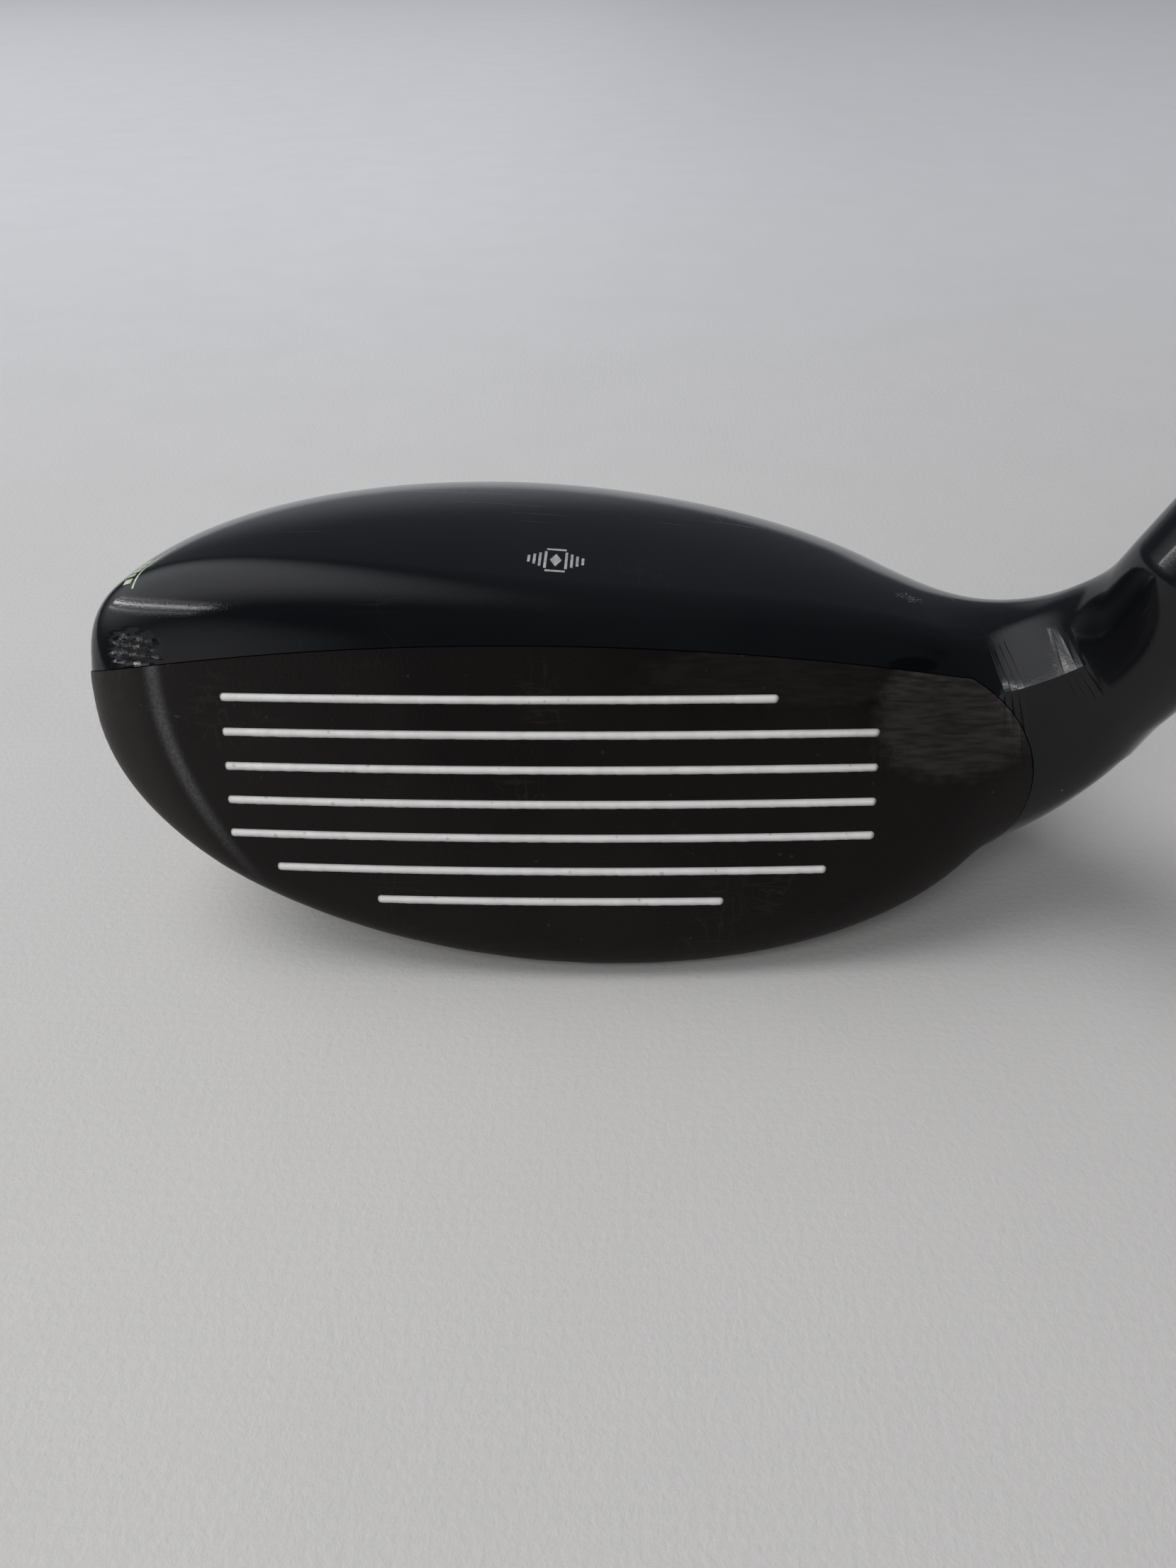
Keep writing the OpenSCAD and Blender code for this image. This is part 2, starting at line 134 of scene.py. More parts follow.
def over_face(p):
    x, y, z = p[..., 0], p[..., 1] - face_y, p[..., 2] - face_z
    up_face = y * math.sin(loft) + z * math.cos(loft)
    out_of_face = -y * math.cos(loft) + z * math.sin(loft)
    return out_of_face + x * x / (2 * bulge_r) + up_face**2 / (2 * roll_r)


def over_body(p):
    x, y, z = (p[..., i] - waist[i] for i in range(3))
    z = z - rise_to_back * y - rise_to_heel * x - camber * x * x
    reach_x = np.where(x < 0, toe_reach, heel_reach)
    reach_y = np.where(y < 0, front_reach, back_reach)
    reach_z = np.where(z < 0, sole_drop, crown_rise)
    power = np.where(z < 0, sole_power, crown_power)
    flat = (np.abs(x) / reach_x) ** plan_power + (np.abs(y) / reach_y) ** plan_power
    size = flat ** (power / plan_power) + (np.abs(z) / reach_z) ** power
    return (size ** (1 / power) - 1) * reach_z


def over_neck(p):
    dx, y, dz = p[..., 0] - bend_x, p[..., 1], p[..., 2] - bend_z
    turn = np.arctan2(dx, -dz)
    past = (dx * math.cos(lie) + dz * math.sin(lie) > 0) & (turn > lie / 2)
    angle = np.where(past, lie, np.where(dx < 0, 0, np.clip(turn, 0, lie)))
    straight = dx * math.sin(lie) - dz * math.cos(lie)
    r = np.where(dx < 0, -dz, np.where(angle >= lie, straight, np.hypot(dx, dz)))
    u = angle / lie
    fade = (1 - u) ** 2 * (1 + 2 * u)
    tube = np.hypot(r - neck_bend_r - neck_drop * fade, y - neck_back * fade)
    tube = tube - hosel_r - neck_swell * fade
    return soft_max(tube, (neck_from - p[..., 0]) * neck_from_slope, neck_from_round)


def over_skin(p):
    height = np.clip((p[..., 2] - corner_from) / corner_over, 0, 1)
    corner = sole_round + (top_round - sole_round) * height
    blend = front_blend + (back_blend - front_blend) * smoothstep(p[..., 1], blend_from, blend_to)
    body = soft_max(over_body(p), over_face(p), corner)
    return -soft_max(-body, -over_neck(p), blend)


def skin_normals(p):
    h = 0.02
    step = np.eye(3) * h
    slope = np.stack([over_skin(p + s) - over_skin(p - s) for s in step], -1)
    return slope / np.maximum(np.linalg.norm(slope, axis=-1, keepdims=True), 1e-9)


def find_skin(origin, direction, level=0.0):
    """Points where rays from inside the head reach the skin, or a level over it."""
    ray_length, halvings = 70.0, 24
    near, far = np.zeros(direction.shape[:-1]), np.full(direction.shape[:-1], ray_length)
    for _ in range(halvings):
        middle = (near + far) / 2
        inside = over_skin(origin + direction * middle[..., None]) < level
        near, far = np.where(inside, middle, near), np.where(inside, far, middle)
    return origin + direction * ((near + far) / 2)[..., None]


print("height of the crown over the middle:",
      find_skin(np.array([[0.0, 8, 20]]), np.array([[0.0, 0, 1]]))[0].round(2))

# %% [markdown]
# ## Rays that follow the head
#
# A mesh over this skin could come from a voxel grid, but a voxel grid has no flow and needs
# millions of faces. Rays from a line of centres give clean rings instead: they fan out at the toe,
# stand upright along the body, and turn with the bend of the neck until they meet the hosel.

# %% Rings of the head
toe_hub = np.array([-26.0, 12.0, 21.0])
hub_back, hub_drop, hub_sag = 7.0, 6.0, 2.0
neck_hub = np.array([bend_x, hub_back, bend_z - neck_bend_r - hub_drop])


def ring_rays(around, toe_rings, body_rings, bend_rings, hosel_rings):
    """Origins and directions of the rays, one row for each ring."""
    angle = np.linspace(0, 2 * math.pi, around, endpoint=False)[:, None]
    side, upright = np.array([0.0, 1, 0]), np.array([0.0, 0, 1])
    origins, directions = [], []
    for t in np.arange(toe_rings) / toe_rings:
        lean = math.pi / 2 * (1 - t)
        flat = np.cos(angle) * side + np.sin(angle) * upright
        origins.append(toe_hub)
        directions.append(math.cos(lean) * flat - math.sin(lean) * np.array([1.0, 0, 0]))
    for t in np.arange(body_rings) / body_rings:
        sag = np.array([0, 0, hub_sag * math.sin(math.pi * t)])
        origins.append(toe_hub + (neck_hub - toe_hub) * t - sag)
        directions.append(np.cos(angle) * side + np.sin(angle) * upright)
    for t in np.arange(bend_rings + 1) / bend_rings:
        fade, turn = (1 - t) ** 2, lie * t
        upward = np.array([-math.sin(turn), 0, math.cos(turn)])
        centre = np.array([bend_x, hub_back * fade, bend_z])
        centre = centre - upward * (neck_bend_r + hub_drop * fade)
        origins.append(centre)
        directions.append(np.cos(angle) * side + np.sin(angle) * upward)
    for t in np.arange(1, hosel_rings + 1) / hosel_rings:
        origins.append(centre + np.array(shaft_dir) * hosel_straight * t)
        directions.append(directions[-1])
    return np.array(origins)[:, None, :], np.array(directions)


def rings_to_mesh(name, rings):
    """A closed mesh through rings of points. The first ring shrinks to a pole, the last is capped."""
    count, around = rings.shape[:2]
    points = np.concatenate([rings[0, :1], rings[1:].reshape(-1, 3)])
    k = np.arange(around)
    after = (k + 1) % around
    faces = [(0, 1 + a, 1 + b) for a, b in zip(k, after)]
    for i in range(count - 2):
        a, b = 1 + i * around, 1 + (i + 1) * around
        faces += [(a + j, b + j, b + n, a + n) for j, n in zip(k, after)]
    faces.append(tuple(1 + (count - 2) * around + j for j in reversed(k)))
    mesh = bpy.data.meshes.new(name)
    mesh.from_pydata(points.tolist(), [], faces)
    return mesh


def volume_of(mesh):
    """Volume inside the mesh: positive if its faces point outwards."""
    mesh.calc_loop_triangles()
    co = np.empty(len(mesh.vertices) * 3)
    mesh.vertices.foreach_get("co", co)
    tri = np.empty(len(mesh.loop_triangles) * 3, int)
    mesh.loop_triangles.foreach_get("vertices", tri)
    a, b, c = (co.reshape(-1, 3)[tri.reshape(-1, 3)[:, i]] for i in range(3))
    return float((a * np.cross(b, c)).sum() / 6)


def turn_outwards(mesh):
    if volume_of(mesh) < 0:
        mesh.flip_normals()


# %% [markdown]
# ## Helpers for mesh work
#
# Pieces are shaped in millimetres in the head's own frame, where a float has precision to spare,
# and are carried into the row frame at the end. An exact Boolean cuts one closed solid with
# another. After a cut, the faces that still lie on the skin get the skin's own normals, so the
# paint shows no trace of the triangles round a hole.

# %% Mesh helpers
scene = bpy.context.scene


def add_object(name, data):
    obj = bpy.data.objects.new(name, data)
    scene.collection.objects.link(obj)
    return obj


def carve(obj, cutter, operation="DIFFERENCE"):
    """Cuts obj with a closed cutter, which is then thrown away."""
    step = obj.modifiers.new("carve", "BOOLEAN")
    step.operation, step.solver, step.object = operation, "EXACT", cutter
    made = bpy.data.meshes.new_from_object(
        obj.evaluated_get(bpy.context.evaluated_depsgraph_get())
    )
    obj.modifiers.clear()
    old, obj.data = obj.data, made
    bpy.data.meshes.remove(old)
    bpy.data.meshes.remove(cutter.data)


def prism(name, outline, low, high, matrix):
    """A closed prism over an outline of (x, y) points, counterclockwise, from low to high."""
    n = len(outline)
    points = [(x, y, low) for x, y in outline] + [(x, y, high) for x, y in outline]
    faces = [tuple(range(n))[::-1], tuple(range(n, 2 * n))]
    faces += [(i, (i + 1) % n, n + (i + 1) % n, n + i) for i in range(n)]
    mesh = bpy.data.meshes.new(name)
    mesh.from_pydata(points, [], faces)
    mesh.transform(matrix)
    return add_object(name, mesh)


def circle(radius, count=96):
    turns = [2 * math.pi * i / count for i in range(count)]
    return [(radius * math.cos(a), radius * math.sin(a)) for a in turns]


def shade_by_skin(mesh, level=0.0, tolerance=0.03):
    """Gives each corner on the skin the skin's own normal; cut faces keep theirs."""
    co = np.empty(len(mesh.vertices) * 3)
    mesh.vertices.foreach_get("co", co)
    co = co.reshape(-1, 3)
    on_skin = np.abs(over_skin(co) - level) < tolerance
    normal = skin_normals(co)
    corner_vertex = np.empty(len(mesh.loops), int)
    mesh.loops.foreach_get("vertex_index", corner_vertex)
    sizes = np.empty(len(mesh.polygons), int)
    mesh.polygons.foreach_get("loop_total", sizes)
    flat = np.empty(len(mesh.polygons) * 3)
    mesh.polygons.foreach_get("normal", flat)
    flat = np.repeat(flat.reshape(-1, 3), sizes, axis=0)
    smooth = normal[corner_vertex]
    same_way = 0.8
    keep = on_skin[corner_vertex] & ((smooth * flat).sum(1) > same_way)
    mesh.polygons.foreach_set("use_smooth", np.ones(len(mesh.polygons), bool))
    mesh.normals_split_custom_set(np.where(keep[:, None], smooth, flat))
    return int(keep.sum())


def turned(name, profile, sides=96, matrix=None, sharp=32):
    """A closed turned piece. The profile is a closed loop of (radius, distance along the axis)."""
    rows, on_axis = len(profile), 1e-6
    ring = np.linspace(0, 2 * math.pi, sides, endpoint=False)
    points, start = [], []
    for r, d in profile:
        start.append(len(points))
        if r < on_axis:
            points.append((0, 0, d))
        else:
            points += [(r * math.cos(a), r * math.sin(a), d) for a in ring]
    faces = []
    for i in range(rows):
        k = (i + 1) % rows
        (r0, _), (r1, _) = profile[i], profile[k]
        for j in range(sides):
            n = (j + 1) % sides
            if r0 < on_axis and r1 < on_axis:
                continue
            if r0 < on_axis:
                faces.append((start[i], start[k] + n, start[k] + j))
            elif r1 < on_axis:
                faces.append((start[i] + j, start[i] + n, start[k]))
            else:
                faces.append((start[i] + j, start[i] + n, start[k] + n, start[k] + j))
    mesh = bpy.data.meshes.new(name)
    mesh.from_pydata(points, [], faces)
    turn_outwards(mesh)
    mesh.polygons.foreach_set("use_smooth", np.ones(len(mesh.polygons), bool))
    mesh.set_sharp_from_angle(angle=math.radians(sharp))
    mesh.transform(axis_to_row if matrix is None else matrix)
    return add_object(name, mesh)


def rounded(profile, bevels):
    """Replaces the corners of a closed profile by short arcs. bevels gives a radius for each."""
    out = []
    for i, (here, radius) in enumerate(zip(profile, bevels)):
        here = Vector(here)
        if radius <= 0:
            out.append(tuple(here))
            continue
        before = Vector(profile[i - 1]) - here
        after = Vector(profile[(i + 1) % len(profile)]) - here
        a, b = here + before.normalized() * radius, here + after.normalized() * radius
        for t in (0, 0.25, 0.5, 0.75, 1):
            out.append(tuple(a.lerp(here, t).lerp(here.lerp(b, t), t)))
    return out


def dress(obj, material):
    obj.data.materials.clear()
    obj.data.materials.append(material)


def finish_piece(obj, body, slot, *stands_for):
    """Hooks a finished piece to its CAD body and hides the nodes that it stands for. The slot is not used."""
    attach(obj, body)
    if stands_for:
        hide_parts(*stands_for)
    obj.data.calc_loop_triangles()
    print(f"{obj.name}: {len(obj.data.loop_triangles)} triangles, rides on {body}")
    return obj


# %% [markdown]
# ## Shader groups that the finishes share
#
# Paint, steel, rubber and plastic all get scratched, collect dust and vary in tone, only by
# different amounts. Each of these effects is a node group that is built once: it takes a vector and
# a few sizes, and gives a mask or a height. The shader itself stays in the material.

# %% A small language for node trees
def node(tree, kind, **settings):
    made = tree.nodes.new(kind)
    for key, value in settings.items():
        if key.startswith("in_"):
            made.inputs[key[3:].replace("_", " ")].default_value = value
        else:
            setattr(made, key, value)
    return made


def join(tree, source, target):
    tree.links.new(source, target)


def math_node(tree, operation, a, b=None, clamp=False):
    made = node(tree, "ShaderNodeMath", operation=operation, use_clamp=clamp)
    for socket, value in zip(made.inputs, (a, b)):
        if isinstance(value, (int, float)):
            socket.default_value = value
        elif value is not None:
            tree.links.new(value, socket)
    return made.outputs[0]


def ramp(tree, value, low, high, to_low=0.0, to_high=1.0):
    made = node(tree, "ShaderNodeMapRange", interpolation_type="SMOOTHSTEP")
    limits = (("From Min", low), ("From Max", high), ("To Min", to_low), ("To Max", to_high))
    for name, number in limits:
        if isinstance(number, (int, float)):
            made.inputs[name].default_value = number
        else:
            tree.links.new(number, made.inputs[name])
    tree.links.new(value, made.inputs["Value"])
    return made.outputs["Result"]


def spread(tree, noise, to_low=0.0, to_high=1.0):
    """Most of a noise lies between 0.3 and 0.7: this spreads it over the range that is wanted."""
    return ramp(tree, noise, 0.3, 0.7, to_low, to_high)


def new_group(name, inputs, outputs):
    """A shader node group with named sockets. Returns the group, its input and its output node."""
    group = bpy.data.node_groups.new(name, "ShaderNodeTree")
    for label, kind, value in inputs:
        socket = group.interface.new_socket(label, in_out="INPUT", socket_type=kind)
        if value is not None:
            socket.default_value = value
    for label in outputs:
        group.interface.new_socket(label, in_out="OUTPUT", socket_type="NodeSocketFloat")
    return group, group.nodes.new("NodeGroupInput"), group.nodes.new("NodeGroupOutput")


# %% Hairline scratches
# A thin band of a stretched noise is a long line. A second, coarse noise breaks it into strokes.
hairlines, g_in, g_out = new_group(
    "hairlines",
    [("Vector", "NodeSocketVector", None), ("Turn", "NodeSocketVector", (0, 0, 0)),
     ("Stretch", "NodeSocketVector", (1, 1, 1)), ("Scale", "NodeSocketFloat", 200.0),
     ("Width", "NodeSocketFloat", 0.004), ("Amount", "NodeSocketFloat", 0.5)],
    ["Mask"],
)
placed = node(hairlines, "ShaderNodeMapping")
for label, socket in (("Vector", "Vector"), ("Turn", "Rotation"), ("Stretch", "Scale")):
    join(hairlines, g_in.outputs[label], placed.inputs[socket])
lines = node(hairlines, "ShaderNodeTexNoise", in_Detail=2.0, in_Roughness=0.4)
join(hairlines, placed.outputs[0], lines.inputs["Vector"])
join(hairlines, g_in.outputs["Scale"], lines.inputs["Scale"])
patches = node(hairlines, "ShaderNodeTexNoise", in_Scale=90.0, in_Detail=2.0)
join(hairlines, g_in.outputs["Vector"], patches.inputs["Vector"])
noise_middle = 0.5
from_middle = math_node(hairlines, "SUBTRACT", lines.outputs["Fac"], noise_middle)
band = math_node(hairlines, "ABSOLUTE", from_middle)
line = ramp(hairlines, band, 0.0, g_in.outputs["Width"], 1.0, 0.0)
kept = ramp(hairlines, patches.outputs["Fac"], 0.52, 0.68)
stroke = math_node(hairlines, "MULTIPLY", line, kept)
join(hairlines, math_node(hairlines, "MULTIPLY", stroke, g_in.outputs["Amount"]), g_out.inputs["Mask"])

# %% Specks of dust and small dings
# Each Voronoi cell holds at most one speck, and only a share of the cells holds one at all.
specks, g_in, g_out = new_group(
    "specks",
    [("Vector", "NodeSocketVector", None), ("Scale", "NodeSocketFloat", 400.0),
     ("Size", "NodeSocketFloat", 0.12), ("Share", "NodeSocketFloat", 0.1)],
    ["Mask"],
)
cells = node(specks, "ShaderNodeTexVoronoi")
join(specks, g_in.outputs["Vector"], cells.inputs["Vector"])
join(specks, g_in.outputs["Scale"], cells.inputs["Scale"])
shade = node(specks, "ShaderNodeSeparateColor")
join(specks, cells.outputs["Color"], shade.inputs[0])
chosen = math_node(specks, "LESS_THAN", shade.outputs[0], g_in.outputs["Share"])
smallest = 0.3
size = math_node(specks, "ADD", shade.outputs[1], smallest)
size = math_node(specks, "MULTIPLY", g_in.outputs["Size"], size)
dot = ramp(specks, cells.outputs["Distance"], math_node(specks, "MULTIPLY", size, 0.5), size, 1.0, 0.0)
join(specks, math_node(specks, "MULTIPLY", dot, chosen), g_out.inputs["Mask"])

# %% Slow drift of tone, and fine grain
drift, g_in, g_out = new_group(
    "drift",
    [("Vector", "NodeSocketVector", None), ("Broad", "NodeSocketFloat", 30.0),
     ("Fine", "NodeSocketFloat", 2500.0)],
    ["Broad", "Fine"],
)
for label, detail in (("Broad", 4.0), ("Fine", 3.0)):
    cloud = node(drift, "ShaderNodeTexNoise", in_Detail=detail)
    join(drift, g_in.outputs["Vector"], cloud.inputs["Vector"])
    join(drift, g_in.outputs[label], cloud.inputs["Scale"])
    join(drift, cloud.outputs["Fac"], g_out.inputs[label])

# %% A soft patch round a place
# Wear has a place: the toe that was knocked, the top edge that met the next club in the bag.
patch, g_in, g_out = new_group(
    "patch",
    [("Vector", "NodeSocketVector", None), ("Centre", "NodeSocketVector", (0, 0, 0)),
     ("Half size", "NodeSocketVector", (0.01, 0.01, 0.01)), ("Raggedness", "NodeSocketFloat", 0.5),
     ("Scale", "NodeSocketFloat", 600.0)],
    ["Mask"],
)
away = node(patch, "ShaderNodeVectorMath", operation="SUBTRACT")
join(patch, g_in.outputs["Vector"], away.inputs[0])
join(patch, g_in.outputs["Centre"], away.inputs[1])
scaled = node(patch, "ShaderNodeVectorMath", operation="DIVIDE")
join(patch, away.outputs[0], scaled.inputs[0])
join(patch, g_in.outputs["Half size"], scaled.inputs[1])
radius = node(patch, "ShaderNodeVectorMath", operation="LENGTH")
join(patch, scaled.outputs[0], radius.inputs[0])
ragged = node(patch, "ShaderNodeTexNoise", in_Detail=4.0)
join(patch, g_in.outputs["Vector"], ragged.inputs["Vector"])
join(patch, g_in.outputs["Scale"], ragged.inputs["Scale"])
wander = math_node(patch, "SUBTRACT", ragged.outputs["Fac"], noise_middle)
wander = math_node(patch, "MULTIPLY", wander, g_in.outputs["Raggedness"])
edge_from, edge_to = 0.75, 1.05
radius = math_node(patch, "ADD", radius.outputs["Value"], wander)
join(patch, ramp(patch, radius, edge_from, edge_to, 1.0, 0.0), g_out.inputs["Mask"])
print("groups:", [g.name for g in (hairlines, specks, drift, patch)])


# %% Start of a material
def new_finish(name, **values):
    """A material with a Principled shader. Returns the material, its tree, shader and coordinates."""
    material = bpy.data.materials.new(name)
    material.use_nodes = True
    tree = material.node_tree
    shader = tree.nodes["Principled BSDF"]
    for label, value in values.items():
        shader.inputs[label.replace("_", " ")].default_value = value
    place = tree.nodes.new("ShaderNodeTexCoord").outputs["Object"]
    return material, tree, shader, place


def use(tree, group, vector, **values):
    """Puts a shared group into a material with its own values."""
    made = node(tree, "ShaderNodeGroup", node_tree=group)
    tree.links.new(vector, made.inputs["Vector"])
    for label, value in values.items():
        made.inputs[label.replace("_", " ")].default_value = value
    return made


def blend_colour(tree, factor, a, b, share=1.0):
    """Goes from colour a to colour b by a factor, or by a share of it."""
    if share != 1.0:
        factor = math_node(tree, "MULTIPLY", factor, share)
    made = node(tree, "ShaderNodeMix", data_type="RGBA")
    sockets = [s for s in made.inputs if s.type == "RGBA"]
    for socket, value in zip(sockets, (a, b)):
        if isinstance(value, tuple):
            socket.default_value = (*value, 1)
        else:
            tree.links.new(value, socket)
    tree.links.new(factor, made.inputs[0])
    return next(s for s in made.outputs if s.type == "RGBA")


def raise_by(tree, shader, height, distance):
    bump = node(tree, "ShaderNodeBump", in_Distance=distance)
    join(tree, height, bump.inputs["Height"])
    join(tree, bump.outputs[0], shader.inputs["Normal"])


def row_point(x, y, z):
    """A place in the head's frame, in millimetres, as row coordinates in metres."""
    return tuple(head_to_row @ Vector((x, y, z)))


# %% [markdown]
# ## The painted head
#
# The crown, the skirt, the neck and the sole are one glossy surface, so one shell stands for the
# CAD body and its crown. The face cup is left out of it, and so are the bore for the shaft and the
# port for the weight: they are cut with the same sizes as the real parts.

# %% The shell's mesh
rays_around, toe_rings, body_rings, bend_rings, hosel_rings = 240, 44, 92, 44, 12
origins, directions = ring_rays(rays_around, toe_rings, body_rings, bend_rings, hosel_rings)
skin = find_skin(origins, directions)
print("rings and rays:", skin.shape[:2])

# %% A knock at the toe
# The corner of the toe was knocked hard enough to buckle the paint. Each point inside the patch is
# pushed in, more or less as two crossing waves say, and those faces keep their own normals, so they
# glint.
knock_centre = np.array([-41.8, 6.7, 30.6])
knock_half = np.array([3.9, 3.2, 2.2])
knock_push, knock_ripple, knock_edge = 0.22, 0.12, 0.35
long_wave, short_wave, wave_shift = (3.1, 5.3), (6.7, -4.1), 1.3


def knock_depth(p):
    near = 1 - np.clip(np.linalg.norm((p - knock_centre) / knock_half, axis=-1), 0, 1)
    waves = np.sin(p[..., 0] * long_wave[0] + p[..., 2] * long_wave[1])
    waves = waves + np.sin(p[..., 0] * short_wave[0] + p[..., 2] * short_wave[1] + wave_shift)
    return smoothstep(near, 0.0, knock_edge) * (knock_push + knock_ripple * waves)


def knocked(points):
    return points - skin_normals(points) * knock_depth(points)[..., None]


shell = add_object("head_shell", rings_to_mesh("head_shell", knocked(skin)))
turn_outwards(shell.data)
print("shell:", len(shell.data.vertices), "points,", round(volume_of(shell.data)), "mm3")

# %% The face's outline
# The cup's edge is the top line, an arc at the heel, and then it runs off under the sole.
cup_depth, top_line, top_line_drop, top_line_x = 11.0, 15.7, 0.0018, -4.0
arc_r, arc_x, arc_s = 12.3, 35.8, 1.2
face_to_head = (
    Matrix.Translation((0, face_y, face_z)) @ Matrix.Rotation(math.pi / 2 - loft, 4, "X")
)
arc_start, arc_end = math.radians(62), math.radians(-46)
arc_top = arc_x + arc_r * math.cos(arc_start)
past_toe, past_sole, past_face = -62.0, -40.0, 20.0


def face_block(name, seam=0.0):
    """The space of the cup, wider by the seam."""
    r, line = arc_r + seam, top_line + seam
    outline = [
        (x, line - top_line_drop * (x - top_line_x) ** 2)
        for x in np.linspace(past_toe, arc_top - 1, 70)
    ]
    outline += [
        (arc_x + r * math.cos(a), arc_s + r * math.sin(a)) for a in np.linspace(arc_start, arc_end, 60)
    ]
    outline += [(arc_x + r * math.cos(arc_end), past_sole), (past_toe, past_sole)]
    return prism(name, outline[::-1], -cup_depth, past_face, face_to_head)


# %% Cut the face, the bore and the port out of the shell
hosel_top = neck_foot + hosel_straight
bore_depth, tip_r = 28.0, 4.7
axis_to_head = Matrix.Translation((axis_x, 0, 0)) @ Matrix.Rotation(math.pi / 2 - lie, 4, "Y")
weight_lean = math.radians(24)
weight_out = np.array([0, math.sin(weight_lean), -math.cos(weight_lean)])
weight_core = np.array([2.0, 21.0, waist[2]])
port_sink, head_t, head_r, shank_r, port_wall = 0.6, 2.8, 7.0, 4.0, 1.5
seal_t, shank_len, port_floor = 0.8, 7.0, 1.5
head_play, shank_gap = 0.1, 0.05
port_r = head_r + head_play + port_wall
port_len = port_sink + head_t + seal_t + shank_len + port_floor
mouth = find_skin(weight_core[None], weight_out[None])[0] - weight_out * port_sink
weight_to_head = Matrix.Translation(mouth) @ Matrix.Rotation(math.pi + weight_lean, 4, "X")

cup_seam, bore_play, past_skin = 0.1, 0.05, 20.0
carve(shell, face_block("face_block", cup_seam))
bore_cutter = prism(
    "bore", circle(tip_r + bore_play), hosel_top - bore_depth, hosel_top + past_skin, axis_to_head
)
carve(shell, bore_cutter)
carve(shell, prism("port_hole", circle(port_r), -port_len, past_skin, weight_to_head))
print("corners with the skin's own normal:", shade_by_skin(shell.data))
shell.data.transform(head_to_row)

# %% [markdown]
# ## The gloss paint
#
# The paint is near black with a trace of blue, under a clear coat. A clear coat is smooth, so what tells the
# eye that it is real is what happened to it: dust, hairlines from cloths and bags, small chips along the top
# edge, and the buckled corner at the toe, whose folds are darkened with painted shade and whose ridges carry
# painted glints.

# %% Gloss paint
head_paint, tree, shader, place = new_finish(
    "head_paint", Roughness=0.08, IOR=1.36, Coat_Weight=0.06, Coat_Roughness=0.03
)
tone = use(tree, drift, place, Broad=38.0, Fine=5200.0)
dust = use(tree, specks, place, Scale=520.0, Size=0.1, Share=0.03)
dings = use(tree, specks, place, Scale=210.0, Size=0.07, Share=0.05)
wipes = use(tree, hairlines, place, Turn=(0.3, 0.2, 0.5), Stretch=(0.12, 1.0, 1.0), Scale=260.0,
            Width=0.012, Amount=0.2)
strokes = use(tree, hairlines, place, Turn=(0.1, 0.9, -0.7), Stretch=(1.0, 0.15, 1.0), Scale=190.0,
              Width=0.008, Amount=0.2)
painted_knock_part = 0.62
knock = use(tree, patch, place, Centre=row_point(*knock_centre), Raggedness=0.7, Scale=900.0,
            Half_size=tuple(knock_half * MM * painted_knock_part))
# A near-black streak is painted by the heel end of the top line.
dark_heel_streak = use(tree, patch, place, Centre=row_point(36.4, 5.3, 29.5), Raggedness=0.35, Scale=1400.0,
           Half_size=(0.0034, 0.0012, 0.0009))
rub = use(tree, patch, place, Centre=row_point(37.0, 15.2, 32.0), Raggedness=1.6, Scale=1500.0,
          Half_size=(0.0016, 0.0012, 0.0008))

clouds = ramp(tree, tone.outputs["Broad"], 0.35, 0.65)
paint = blend_colour(tree, clouds, (0.0032, 0.0036, 0.0046), (0.0052, 0.0056, 0.0066))
marks = math_node(tree, "MAXIMUM", wipes.outputs["Mask"], strokes.outputs["Mask"])
paint = blend_colour(tree, marks, paint, (0.16, 0.16, 0.17), 0.08)
faint_dust = math_node(tree, "MULTIPLY", dust.outputs["Mask"], 0.3)
light_dots = math_node(tree, "MAXIMUM", faint_dust, dings.outputs["Mask"])
paint = blend_colour(tree, light_dots, paint, (0.4, 0.4, 0.42), 0.6)
# At the knock the paint is creased: its folds are darkened with painted shade, and its ridges are lightened
# with painted glints.
drawn_out = node(tree, "ShaderNodeMapping", in_Rotation=(0.0, 0.75, 0.0), in_Scale=(1.0, 1.0, 0.3))
join(tree, place, drawn_out.inputs["Vector"])
creases = node(tree, "ShaderNodeTexNoise", in_Scale=820.0, in_Detail=3.0, in_Distortion=1.4)
join(tree, drawn_out.outputs[0], creases.inputs["Vector"])
ridge_glint_mask = ramp(tree, creases.outputs["Fac"], 0.62, 0.70)
deep = ramp(tree, creases.outputs["Fac"], 0.44, 0.50, 1.0, 0.0)
painted_fold_shade = math_node(tree, "MULTIPLY", knock.outputs["Mask"], deep)
paint = blend_colour(tree, painted_fold_shade, paint, (0.001, 0.001, 0.001))
painted_ridge_glints = math_node(tree, "MULTIPLY", knock.outputs["Mask"], ridge_glint_mask)
paint = blend_colour(tree, painted_ridge_glints, paint, (0.05, 0.05, 0.053))
paint = blend_colour(tree, dark_heel_streak.outputs["Mask"], paint, (0.0005, 0.0005, 0.0005))
grains = ramp(tree, tone.outputs["Fine"], 0.56, 0.64)
rubbed = math_node(tree, "MULTIPLY", rub.outputs["Mask"], grains)
paint = blend_colour(tree, rubbed, paint, (0.2, 0.2, 0.18))
join(tree, paint, shader.inputs["Base Color"])

